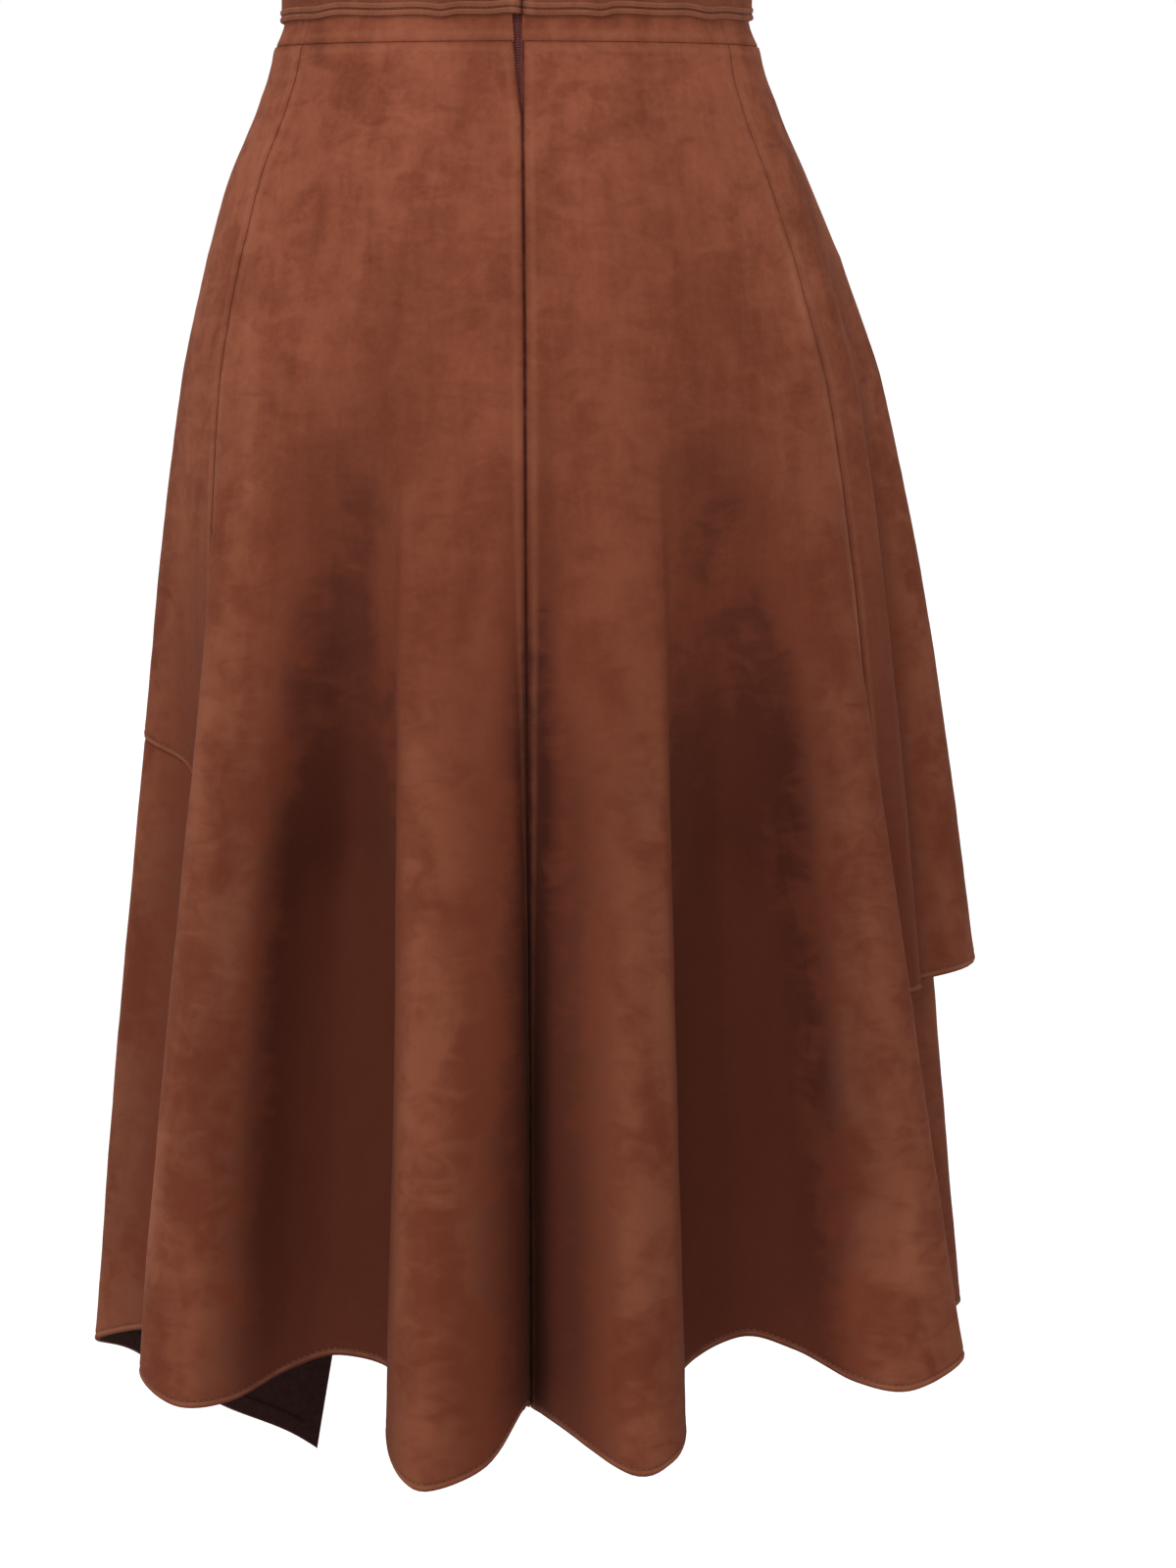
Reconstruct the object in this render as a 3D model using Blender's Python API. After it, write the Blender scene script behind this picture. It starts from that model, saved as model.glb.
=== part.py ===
"""A-line midi skirt in brown faux suede, in its worn shape and hollow.

Frame: +X to the wearer's right, +Y to the wearer's front, +Z up, in metres. The origin is the
centre of the waist opening at the height where the waistband is held. The back is two flared
panels joined at the centre back under a short zip opening. The front is a wrap pair under one
asymmetric overlay. Every panel is a thin wall that follows one girth curve, which starts as an
ellipse at the waist and grows a row of hanging folds toward the hem.
"""

import math
from collections import namedtuple

import bpy

# ---------------------------------------------------------------- heights and wall sizes
WAISTBAND_TOP = 0.0265
WAIST_SEAM = -0.0285
FOLD_EASE = 0.25           # how gently a fold starts
HEM_LEVEL = -0.680         # the level that the panels' lower edges are set out from
CLOTH = 0.0012             # thickness of the suede
SEAM_GAP = 0.0003          # room between two pieces that are sewn together
LAYER_GAP = 0.0014         # room between two layers that hang over each other
LAYER_STEP = CLOTH + LAYER_GAP

# ---------------------------------------------------------------- belt, zip
BELT_LOW = -0.0157
BELT_HEIGHT = 0.040
BELT_CLOTH = 0.0012
BELT_STAND = 0.0004        # room between the belt and the waistband
BELT_RIDGE = 0.0007        # how far the corded edge stands out
BELT_RIDGE_INSETS = (0.0016, 0.0052)
BELT_RIDGE_HALF = 0.0011
BELT_LAP = 12.0            # half the front overlap, in degrees round the waist
ZIP_OPEN = 0.0045          # width of the opening at the top
ZIP_STRAIGHT_TO = -0.032
ZIP_CLOSED_AT = -0.060
TAPE_WIDTH = 0.016
TAPE_CLOTH = 0.0008
TAPE_BEHIND = 0.0012        # how far the tape lies behind the panels' inner face
TAPE_TOP = 0.0240
TAPE_END = -0.170
SLIDER_SIZE = (0.0034, 0.0015, 0.0085)
SLIDER_HEIGHT = 0.0060

# ---------------------------------------------------------------- girth of the skirt by height
Section = namedtuple("Section", "height left right back front")
SECTIONS = (
    Section(0.030, 0.1155, 0.1160, 0.0860, 0.0860),
    Section(-0.017, 0.1168, 0.1174, 0.0866, 0.0866),
    Section(-0.028, 0.1212, 0.1220, 0.0890, 0.0880),
    Section(-0.054, 0.1285, 0.1280, 0.0950, 0.0920),
    Section(-0.094, 0.1445, 0.1440, 0.1050, 0.0990),
    Section(-0.134, 0.1557, 0.1590, 0.1130, 0.1060),
    Section(-0.194, 0.1685, 0.1770, 0.1240, 0.1160),
    Section(-0.274, 0.1785, 0.1900, 0.1370, 0.1260),
    Section(-0.354, 0.1855, 0.1990, 0.1500, 0.1350),
    Section(-0.414, 0.1912, 0.2050, 0.1605, 0.1425),
    Section(-0.504, 0.1995, 0.2120, 0.1770, 0.1510),
    Section(-0.594, 0.2075, 0.2190, 0.1900, 0.1580),
    Section(-0.684, 0.2140, 0.2265, 0.2000, 0.1650),
    Section(-0.800, 0.2200, 0.2310, 0.2100, 0.1720),
)

# One row for each fold line that runs from waist to hem, from centre front round by the wearer's
# left, the back and the right. `turn` is its angle on the waist in degrees from centre back;
# `across` and `out` are its place at the hem as shares of the half width and of the depth; `hem` is
# the height of the edge there. The fold begins at `start` and has its full share at `full`.
Fold = namedtuple("Fold", "name turn across out hem start full")
FOLDS = (
    Fold("front_mid", -180, 0.00, 1.02, -0.655, -0.20, -0.68),
    Fold("front_left_valley", -162, -0.30, 0.945, -0.655, -0.20, -0.68),
    Fold("front_left_crest", -145, -0.53, 1.00, -0.655, -0.20, -0.68),
    Fold("front_left_turn", -126, -0.73, 0.76, -0.660, -0.20, -0.68),
    Fold("left_front_side", -108, -0.92, 0.38, -0.664, -0.12, -0.68),
    Fold("left_outline", -90, -1.00, 0.04, -0.668, -0.12, -0.68),
    Fold("left_hollow", -74, -0.86, -0.16, -0.668, -0.15, -0.40),
    Fold("left_seam", -60, -0.77, -0.38, -0.668, -0.15, -0.45),
    Fold("left_flare_edge", -55, -0.84, -0.57, -0.674, -0.15, -0.62),
    Fold("left_flare_crest", -49, -0.745, -0.755, -0.680, -0.15, -0.68),
    Fold("left_flare_inner", -41, -0.628, -0.71, -0.680, -0.15, -0.68),
    Fold("left_valley_outer", -33, -0.510, -0.60, -0.671, -0.17, -0.45),
    Fold("left_valley", -25, -0.393, -0.575, -0.665, -0.17, -0.42),
    Fold("left_lobe_tuck", -19.5, -0.262, -0.70, -0.668, -0.18, -0.50),
    Fold("left_lobe_edge", -17, -0.267, -0.875, -0.688, -0.18, -0.56),
    Fold("left_lobe_outer", -14, -0.238, -0.975, -0.700, -0.15, -0.66),
    Fold("left_lobe_crest", -9.5, -0.174, -1.035, -0.704, -0.15, -0.68),
    Fold("left_lobe_inner", -5.0, -0.050, -0.95, -0.697, -0.20, -0.66),
    Fold("left_lobe_flank", -1.0, 0.022, -0.86, -0.677, -0.22, -0.56),
    Fold("centre_back", 2.0, 0.040, -0.730, -0.682, -0.22, -0.54),
    Fold("right_lobe_inner", 7.5, 0.102, -0.85, -0.684, -0.22, -0.60),
    Fold("right_lobe_crest", 14.5, 0.25, -1.025, -0.697, -0.15, -0.68),
    Fold("right_lobe_outer", 19.5, 0.330, -0.985, -0.694, -0.15, -0.66),
    Fold("right_lobe_edge", 22, 0.360, -0.89, -0.686, -0.18, -0.56),
    Fold("right_lobe_tuck", 24.5, 0.353, -0.715, -0.668, -0.18, -0.50),
    Fold("right_valley", 31, 0.486, -0.565, -0.657, -0.17, -0.42),
    Fold("right_valley_outer", 39, 0.606, -0.585, -0.662, -0.17, -0.45),
    Fold("right_flare_inner", 45, 0.735, -0.70, -0.672, -0.15, -0.68),
    Fold("right_flare_crest", 50, 0.85, -0.71, -0.675, -0.15, -0.68),
    Fold("right_flare_edge", 55, 0.970, -0.56, -0.667, -0.15, -0.68),
    Fold("right_seam", 60, 0.875, -0.38, -0.664, -0.15, -0.60),
    Fold("right_side_fold", 68, 0.910, -0.30, -0.664, -0.10, -0.60),
    Fold("right_hollow", 76, 0.87, -0.16, -0.668, -0.07, -0.34),
    Fold("right_outline", 91, 1.00, 0.04, -0.669, -0.12, -0.68),
    Fold("right_front_side", 108, 0.92, 0.40, -0.664, -0.12, -0.68),
    Fold("front_right_turn", 126, 0.73, 0.78, -0.660, -0.20, -0.68),
    Fold("front_right_crest", 145, 0.50, 0.99, -0.655, -0.20, -0.68),
    Fold("front_right_valley", 162, 0.26, 0.955, -0.655, -0.20, -0.68),
)
FOLD_INDEX = {fold.name: number for number, fold in enumerate(FOLDS)}
FOLD_COUNT = len(FOLDS)

# The slanting edges that do not follow the common hem: place on the girth, height of the edge.
Edge = namedtuple("Edge", "fold height")
WRAP_HEM = (
    Edge("left_seam", -0.668),
    Edge("left_hollow", -0.673),
    Edge("left_outline", -0.688),
    Edge("left_front_side", -0.708),
    Edge("front_left_turn", -0.749),
    Edge("front_left_crest", -0.777),
    Edge("front_left_valley", -0.802),
)
OVERLAY_HEM = (
    Edge("right_seam", -0.500),
    Edge("right_side_fold", -0.499),
    Edge("right_hollow", -0.498),
    Edge("right_outline", -0.494),
    Edge("right_front_side", -0.486),
    Edge("front_right_turn", -0.472),
    Edge("front_right_crest", -0.454),
    Edge("front_right_valley", -0.435),
    Edge("front_mid", -0.416),
    Edge("front_left_valley", -0.398),
    Edge("front_left_crest", -0.384),
    Edge("front_left_turn", -0.373),
    Edge("left_front_side", -0.368),
    Edge("left_outline", -0.377),
    Edge("left_hollow", -0.388),
    Edge("left_seam", -0.412),
)
WRAP_EDGE_TOP = -0.35      # free edge of the wrap at the waist, in folds past centre front
WRAP_EDGE_HEM = 1.90       # and at the hem
UNDER_EDGE_TOP = 1.6       # free edge of the panel under it
UNDER_EDGE_HEM = 3.0
OVER_SLACK = 0.0006        # extra room under the overlay toward its hem
UNDER_SLACK = 0.002        # extra room between the wrap pair toward the hem
FLARE_TOP = -0.090         # the overlay's long side starts to stand off here
FLARE_SLOPE = 0.046        # and gains this much for each metre below

# The tables above draw the pattern at its base size. It is let out and let down toward the hem.
LET_OUT = 0.0655           # width gained for each metre below the waist
LET_OUT_CENTRE = 0.0365    # and about this line
LET_DOWN = 0.0713          # length gained, by the square of the depth
LET_DOWN_FROM = 0.160      # below this

# ---------------------------------------------------------------- mesh density
PANEL_ROWS = 14            # the same down every long panel, so their seams meet row by row
OVERLAY_ROWS = 9
BACK_COLUMNS = 28
WRAP_COLUMNS = 21
UNDER_COLUMNS = 23
OVERLAY_COLUMNS = 32
BAND_COLUMNS = 13
BAND_LEVELS = (WAISTBAND_TOP, -0.017, WAIST_SEAM + SEAM_GAP)
BELT_COLUMNS = 27


def blend(low, high, share):
    """Straight mix of two numbers."""
    return low + (high - low) * share


def soft_step(low, high, value):
    """Smooth 0 to 1 between two heights or shares."""
    share = min(1.0, max(0.0, (value - low) / (high - low)))
    return share * share * (3.0 - 2.0 * share)


def soften(share):
    """Growth of a fold: eases in, then runs straight to its full share."""
    return share * share * (1.0 + FOLD_EASE) / (share + FOLD_EASE)


def catmull(a, b, c, d, share):
    """Catmull-Rom value between b and c."""
    return 0.5 * (
        2.0 * b
        + (c - a) * share
        + (2.0 * a - 5.0 * b + 4.0 * c - d) * share**2
        + (3.0 * b - a - 3.0 * c + d) * share**3
    )


def section_at(height):
    """Half widths and depths of the skirt at one height, eased between the table's rows."""
    last = len(SECTIONS) - 1
    row = 0
    while row < last - 1 and height < SECTIONS[row + 1].height:
        row += 1
    upper = SECTIONS[row]
    lower = SECTIONS[row + 1]
    share = min(1.0, max(0.0, (upper.height - height) / (upper.height - lower.height)))
    values = []
    for field in ("left", "right", "back", "front"):
        before = getattr(SECTIONS[max(0, row - 1)], field)
        after = getattr(SECTIONS[min(last, row + 2)], field)
        values.append(catmull(before, getattr(upper, field), getattr(lower, field), after, share))
    return values


def fold_place(fold, height, widths):
    """Plan position of one fold line at a height."""
    grown = min(1.0, max(0.0, (fold.start - height) / (fold.start - fold.full)))
    grown = soften(grown)
    angle = math.radians(fold.turn)
    across = blend(math.sin(angle), fold.across, grown)
    out = blend(-math.cos(angle), fold.out, grown)
    left, right, back, front = widths
    return (across * (right if across > 0 else left), out * (front if out > 0 else back))


def girth_point(place, height):
    """Plan point of the girth curve; `place` counts fold lines and wraps at centre front."""
    widths = section_at(height)
    base = math.floor(place)
    share = place - base
    near = [fold_place(FOLDS[(base + step) % FOLD_COUNT], height, widths) for step in (-1, 0, 1, 2)]
    return tuple(catmull(near[0][axis], near[1][axis], near[2][axis], near[3][axis], share)
                 for axis in (0, 1))


def outward(place, height):
    """Unit plan normal of the girth curve, away from the body."""
    ahead = girth_point(place + 0.05, height)
    behind = girth_point(place - 0.05, height)
    along = (ahead[0] - behind[0], ahead[1] - behind[1])
    length = math.hypot(along[0], along[1])
    return (along[1] / length, -along[0] / length)


def surface_point(place, height, stand, shift=0.0):
    """Point on the cloth that stands `stand` outside the girth curve, moved `shift` along it."""
    plan = girth_point(place, height)
    normal = outward(place, height)
    return (plan[0] + normal[0] * stand - normal[1] * shift,
            plan[1] + normal[1] * stand + normal[0] * shift, height)


def slide(place, height, distance):
    """Place on the girth curve a small distance further along it, or back for a minus distance."""
    step = math.copysign(0.05, distance)
    left = abs(distance)
    here = girth_point(place, height)
    while left > 0.0:
        ahead = girth_point(place + step, height)
        pace = math.hypot(ahead[0] - here[0], ahead[1] - here[1])
        place += step * min(1.0, left / pace)
        left -= pace
        here = ahead
    return place


def place_of_turn(turn):
    """Place on the girth of an angle round the waist, in degrees from centre back."""
    lap = math.floor((turn + 180.0) / 360.0)
    turn -= 360.0 * lap
    row = 0
    while row < FOLD_COUNT - 1 and turn >= FOLDS[row + 1].turn:
        row += 1
    after = FOLDS[row + 1].turn if row < FOLD_COUNT - 1 else 180.0
    share = (turn - FOLDS[row].turn) / (after - FOLDS[row].turn)
    return lap * FOLD_COUNT + row + share


def turn_of_place(place):
    """Angle round the waist of a place on the girth."""
    lap = math.floor(place / FOLD_COUNT)
    place -= lap * FOLD_COUNT
    row = math.floor(place)
    after = FOLDS[row + 1].turn if row < FOLD_COUNT - 1 else 180.0
    return 360.0 * lap + blend(FOLDS[row].turn, after, place - row)


def even_place(first, last, share):
    """Place that divides the waist between two places by angle, so the steps are even."""
    return place_of_turn(blend(turn_of_place(first), turn_of_place(last), share))


def common_hem(place):
    """Height of the level hem at a place on the girth."""
    base = math.floor(place)
    share = place - base
    near = [FOLDS[(base + step) % FOLD_COUNT].hem for step in (-1, 0, 1, 2)]
    return catmull(near[0], near[1], near[2], near[3], share)


def table_edge(table, place):
    """Height of a slanting edge at a place on the girth."""
    marks = []
    for row in table:
        mark = FOLD_INDEX[row.fold]
        while marks and mark - marks[-1][0] > FOLD_COUNT / 2:
            mark -= FOLD_COUNT
        while marks and marks[-1][0] - mark > FOLD_COUNT / 2:
            mark += FOLD_COUNT
        marks.append((mark, row.height))
    marks.sort()
    shift = FOLD_COUNT * round((0.5 * (marks[0][0] + marks[-1][0]) - place) / FOLD_COUNT)
    place += shift
    place = min(marks[-1][0], max(marks[0][0], place))
    row = 0
    while row < len(marks) - 2 and place > marks[row + 1][0]:
        row += 1
    share = (place - marks[row][0]) / (marks[row + 1][0] - marks[row][0])
    before = marks[max(0, row - 1)][1]
    after = marks[min(len(marks) - 1, row + 2)][1]
    return catmull(before, marks[row][1], marks[row + 1][1], after, share)


def make_material(name, colour, roughness, metallic=0.0):
    """Plain coloured material for one piece."""
    material = bpy.data.materials.new(name)
    material.use_nodes = True
    shader = material.node_tree.nodes["Principled BSDF"]
    shader.inputs["Base Color"].default_value = (*colour, 1.0)
    shader.inputs["Roughness"].default_value = roughness
    shader.inputs["Metallic"].default_value = metallic
    return material


def let_out(point):
    """A point of the base pattern at its place on the finished skirt."""
    wider = LET_OUT * max(0.0, -point[2])
    longer = LET_DOWN * max(0.0, -point[2] - LET_DOWN_FROM) ** 2
    return (point[0] + wider * (point[0] - LET_OUT_CENTRE), point[1], point[2] - longer)


def link_mesh(name, points, faces, material):
    """Make a named object from points and faces."""
    mesh = bpy.data.meshes.new(name)
    mesh.from_pydata([let_out(point) for point in points], [], faces)
    mesh.materials.append(material)
    mesh.update()
    item = bpy.data.objects.new(name, mesh)
    bpy.context.scene.collection.objects.link(item)
    return item


def ring_wall(name, rings, material, strip_ends=True):
    """Solid from a row of equal closed rings, capped at both ends by a strip or by one face."""
    size = len(rings[0])
    points = [point for ring in rings for point in ring]
    faces = []
    for step in range(len(rings) - 1):
        low = step * size
        high = low + size
        for corner in range(size):
            after = (corner + 1) % size
            faces.append((low + corner, low + after, high + after, high + corner))
    last = (len(rings) - 1) * size
    if strip_ends:
        half = size // 2
        for corner in range(half - 1):
            pair = size - 1 - corner
            faces.append((corner + 1, corner, pair, pair - 1))
            faces.append((last + corner, last + corner + 1, last + pair - 1, last + pair))
    else:
        faces.append(tuple(range(size - 1, -1, -1)))
        faces.append(tuple(range(last, last + size)))
    return link_mesh(name, points, faces, material)


def panel(name, first, last, top, bottom, stand, columns, rows, material):
    """Cloth panel between two edges of the girth.

    `first` and `last` give the panel's edge place at a height, `bottom` the height of its lower
    edge at a place, and `stand` its inner face's distance outside the girth curve. Half a seam gap
    is left at both edges.
    """
    rings = []
    for column in range(columns + 1):
        share = column / columns
        deep = bottom(blend(first(HEM_LEVEL), last(HEM_LEVEL), share))
        shift = blend(1.0, -1.0, share) * SEAM_GAP / 2
        outer = []
        inner = []
        for row in range(rows + 1):
            height = blend(top, deep, row / rows)
            place = blend(first(height), last(height), share)
            inside = stand(place, height)
            outer.append(surface_point(place, height, inside + CLOTH, shift))
            inner.append(surface_point(place, height, inside, shift))
        rings.append(outer + inner[::-1])
    return ring_wall(name, rings, material)


def seam_edge(fold_name, laps=0):
    """Edge of a panel along a fold line, some whole laps round the girth."""
    mark = FOLD_INDEX[fold_name] + laps * FOLD_COUNT

    def edge(height):
        return mark

    return edge


def zip_edge(height):
    """Centre-back edge of the left panel, which swings open above the closed seam."""
    mark = FOLD_INDEX["centre_back"]
    return slide(mark, height, -ZIP_OPEN * soft_step(ZIP_CLOSED_AT, ZIP_STRAIGHT_TO, height))


def free_edge(at_waist, at_hem, finish):
    """Free edge that runs straight from the waist to the hem corner."""

    def edge(height):
        share = min(1.0, max(0.0, (WAIST_SEAM - height) / (WAIST_SEAM - finish)))
        return blend(at_waist, at_hem, share)

    return edge


def on_curve(place, height):
    """Panels that lie on the girth curve itself."""
    return 0.0


def under_curve(place, height):
    """The panel under the wrap lies inside it where the two overlap."""
    from_seam = place - FOLD_INDEX["right_seam"]
    inside = LAYER_STEP + UNDER_SLACK * soft_step(0.10, 0.40, -height)
    return -inside * soft_step(4.5, 6.5, from_seam)


def over_curve(place, height):
    """The overlay lies one layer out and stands off along its long side."""
    near = place % FOLD_COUNT - FOLD_INDEX["right_outline"]
    spread = math.exp(-((near / 2.0) ** 2)) if near < 0 else math.exp(-((near / 3.2) ** 2))
    slack = OVER_SLACK * soft_step(0.15, 0.36, -height)
    return LAYER_STEP + slack + FLARE_SLOPE * spread * max(0.0, FLARE_TOP - height)


def band_piece(name, first, last, columns, material):
    """One length of the waistband."""
    rings = []
    for column in range(columns + 1):
        share = column / columns
        places = [even_place(first(z), last(z), share) for z in BAND_LEVELS]
        shift = blend(1.0, -1.0, share) * SEAM_GAP / 2
        outer = [surface_point(place, z, CLOTH, shift) for place, z in zip(places, BAND_LEVELS)]
        inner = [surface_point(place, z, 0.0, shift) for place, z in zip(places, BAND_LEVELS)][::-1]
        rings.append(outer + inner)
    return ring_wall(name, rings, material)


def belt_profile():
    """Heights and outer stands of the belt's face, from top edge to lower edge."""
    marks = []
    top = BELT_LOW + BELT_HEIGHT
    for inset in BELT_RIDGE_INSETS:
        marks.append((top - inset + BELT_RIDGE_HALF, 0.0))
        marks.append((top - inset, BELT_RIDGE))
        marks.append((top - inset - BELT_RIDGE_HALF, 0.0))
    for inset in reversed(BELT_RIDGE_INSETS):
        marks.append((BELT_LOW + inset + BELT_RIDGE_HALF, 0.0))
        marks.append((BELT_LOW + inset, BELT_RIDGE))
        marks.append((BELT_LOW + inset - BELT_RIDGE_HALF, 0.0))
    marks[0] = (top, 0.0)
    marks[-1] = (BELT_LOW, 0.0)
    return marks


def belt_piece(name, first, last, columns, lift, material):
    """Half of the belt, with a double raised edge along both sides."""
    profile = belt_profile()
    rings = []
    for column in range(columns + 1):
        place = even_place(first, last, column / columns)
        base = CLOTH + BELT_STAND + lift(place)
        ring = []
        for height, ridge in profile:
            plan = surface_point(place, BELT_LOW, base + BELT_CLOTH + ridge)
            ring.append((plan[0], plan[1], height))
        plan = surface_point(place, BELT_LOW, base)
        ring.append((plan[0], plan[1], profile[-1][0]))
        ring.append((plan[0], plan[1], profile[0][0]))
        rings.append(ring)
    return ring_wall(name, rings, material, strip_ends=False)


def box(name, centre, size, material):
    """Plain block."""
    half = [value / 2 for value in size]
    points = [(centre[0] + sx * half[0], centre[1] + sy * half[1], centre[2] + sz * half[2])
              for sx in (-1, 1) for sy in (-1, 1) for sz in (-1, 1)]
    faces = [(0, 1, 3, 2), (4, 6, 7, 5), (0, 4, 5, 1), (2, 3, 7, 6), (0, 2, 6, 4), (1, 5, 7, 3)]
    return link_mesh(name, points, faces, material)


def build_back(suede):
    """The two flared back panels."""
    panel("back_left", seam_edge("left_seam"), zip_edge, WAIST_SEAM, common_hem, on_curve,
          BACK_COLUMNS, PANEL_ROWS, suede)
    panel("back_right", seam_edge("centre_back"), seam_edge("right_seam"), WAIST_SEAM, common_hem, on_curve,
          BACK_COLUMNS, PANEL_ROWS, suede)


def build_front(suede):
    """The wrap pair and the overlay."""
    wrap = free_edge(WRAP_EDGE_TOP, WRAP_EDGE_HEM, -0.790)
    panel("front_left", wrap, seam_edge("left_seam"), WAIST_SEAM,
          lambda place: table_edge(WRAP_HEM, place), on_curve, WRAP_COLUMNS, PANEL_ROWS, suede)
    under = free_edge(UNDER_EDGE_TOP + FOLD_COUNT, UNDER_EDGE_HEM + FOLD_COUNT, -0.655)
    panel("front_right", seam_edge("right_seam"), under, WAIST_SEAM, common_hem, under_curve,
          UNDER_COLUMNS, PANEL_ROWS, suede)
    panel("overlay", seam_edge("right_seam"), seam_edge("left_seam", 1), WAIST_SEAM,
          lambda place: table_edge(OVERLAY_HEM, place), over_curve, OVERLAY_COLUMNS, OVERLAY_ROWS,
          suede)


def build_waist(suede, belt_suede):
    """Waistband in three lengths and the belt in two halves."""
    middle_edge = seam_edge("centre_back")
    band_piece("waistband_back_left", seam_edge("left_seam"), zip_edge, BAND_COLUMNS, suede)
    band_piece("waistband_back_right", middle_edge, seam_edge("right_seam"), BAND_COLUMNS, suede)
    band_piece("waistband_front", seam_edge("right_seam"), seam_edge("left_seam", 1),
               2 * BAND_COLUMNS + 4, suede)
    middle = FOLD_INDEX["centre_back"]
    low = slide(middle, BELT_LOW, -SEAM_GAP / 2)
    high = slide(middle, BELT_LOW, SEAM_GAP / 2)
    lap = BELT_CLOTH + BELT_RIDGE + SEAM_GAP

    left_start = place_of_turn(-180.0 - BELT_LAP)
    right_end = place_of_turn(180.0 + BELT_LAP)
    rise_from = place_of_turn(180.0 - 3.0 * BELT_LAP)
    rise_to = place_of_turn(180.0 - 2.0 * BELT_LAP)

    def lap_lift(place):
        return lap * soft_step(rise_from, rise_to, place)

    belt_piece("belt_left", left_start, low, BELT_COLUMNS, lambda place: 0.0, belt_suede)
    belt_piece("belt_right", high, right_end, BELT_COLUMNS, lap_lift, belt_suede)


def build_zip(tape_cloth, metal):
    """Zip tape behind the opening and the slider at its top."""
    middle = FOLD_INDEX["centre_back"]
    levels = (TAPE_TOP, -0.017, -0.022, WAIST_SEAM, -0.045, -0.065, -0.094, -0.134, TAPE_END)
    rings = []
    for column in range(5):
        off = blend(-0.5, 0.5, column / 4) * TAPE_WIDTH - ZIP_OPEN / 2
        outer = []
        inner = []
        for height in levels:
            place = slide(middle, height, off)
            outer.append(surface_point(place, height, -TAPE_BEHIND))
            inner.append(surface_point(place, height, -TAPE_BEHIND - TAPE_CLOTH))
        rings.append(outer + inner[::-1])
    ring_wall("zip_tape", rings, tape_cloth)
    place = slide(middle, SLIDER_HEIGHT, -ZIP_OPEN / 2)
    seat = surface_point(place, SLIDER_HEIGHT, SLIDER_SIZE[1] / 2 - TAPE_BEHIND + SEAM_GAP)
    box("zip_slider", seat, SLIDER_SIZE, metal)


def main():
    """Build every piece of the skirt."""
    for item in list(bpy.data.objects):
        bpy.data.objects.remove(item, do_unlink=True)
    suede = make_material("brown_suede", (0.214, 0.082, 0.050), 0.9)
    belt_suede = make_material("belt_suede", (0.235, 0.092, 0.056), 0.88)
    tape_cloth = make_material("zip_tape_cloth", (0.095, 0.018, 0.020), 0.8)
    metal = make_material("dark_zip_metal", (0.16, 0.12, 0.10), 0.35, 1.0)
    build_back(suede)
    build_front(suede)
    build_waist(suede, belt_suede)
    build_zip(tape_cloth, metal)


main()
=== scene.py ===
"""Looks of a brown faux-suede a-line skirt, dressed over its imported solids.

The skirt hangs as it does when worn. The cloth follows one girth curve that starts as an oval at
the waist and grows a row of hanging folds toward the hem. Each cut piece is a closed wall of
cloth with a turned hem, sunk seams and its own nap. Rows of stitches run along the hems and the
belt, and the seam allowances lie on the inside. +X is the wearer's right, +Y the wearer's front
and +Z up, in metres.
"""

import logging
import math
from dataclasses import dataclass, field
from enum import Enum
from typing import Callable, Iterable, NamedTuple, Sequence

import bpy
import numpy as np
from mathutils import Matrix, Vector, noise


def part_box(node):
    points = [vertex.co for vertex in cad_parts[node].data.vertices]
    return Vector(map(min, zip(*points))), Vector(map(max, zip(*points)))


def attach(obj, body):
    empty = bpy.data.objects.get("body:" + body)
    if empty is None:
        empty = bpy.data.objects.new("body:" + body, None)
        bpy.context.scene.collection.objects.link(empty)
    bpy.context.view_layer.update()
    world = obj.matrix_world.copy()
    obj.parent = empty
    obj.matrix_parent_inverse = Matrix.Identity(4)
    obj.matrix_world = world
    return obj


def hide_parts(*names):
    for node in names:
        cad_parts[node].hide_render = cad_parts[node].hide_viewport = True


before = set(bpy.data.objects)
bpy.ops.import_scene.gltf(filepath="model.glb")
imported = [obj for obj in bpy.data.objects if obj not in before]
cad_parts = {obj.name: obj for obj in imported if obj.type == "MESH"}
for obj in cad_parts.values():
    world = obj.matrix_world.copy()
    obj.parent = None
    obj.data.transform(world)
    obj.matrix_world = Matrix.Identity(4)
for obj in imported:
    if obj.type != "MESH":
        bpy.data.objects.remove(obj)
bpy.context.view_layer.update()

LOG = logging.getLogger("skirt")
Value = float | np.ndarray
Feed = bpy.types.NodeSocket | float | tuple[float, ...] | None
Edge = Callable[[np.ndarray], np.ndarray]
Stand = Callable[[np.ndarray, np.ndarray], np.ndarray]

# ---------------------------------------------------------------- heights and wall sizes
WAISTBAND_TOP = 0.0265
WAIST_SEAM = -0.0285
HEM_LEVEL = -0.680             # level at which the panels are divided into columns
CLOTH = 0.0012
SEAM_GAP = 0.0003
LAYER_STEP = 0.0026            # from one layer of the front to the next
PRESSED_IN = 0.0013            # how far a covered layer gives way to the one over it
BELT_LOW = -0.0157
BELT_HEIGHT = 0.040
BELT_CUT = (0.362, BELT_HEIGHT)
ZIP_OPEN = 0.0045
ZIP_CLOSED_AT = -0.064
TAPE_BEHIND = 0.0012
TAPE_CLOTH = 0.0008
STITCH_INSET = 0.0034          # from a hem's edge to its stitches


class Held(Enum):
    """How a sheet of cloth is held in place."""

    HUNG = "hung"
    STRETCHED = "stretched"


class Slot(Enum):
    """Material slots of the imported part."""

    SUEDE = "suede"
    BELT = "belt_suede"
    TAPE = "zip_tape"
    METAL = "zip_metal"


# ---------------------------------------------------------------- the girth of the skirt
class Section(NamedTuple):
    """Half widths and depths of the skirt at one height."""

    height: float
    left: float
    right: float
    back: float
    front: float


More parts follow.
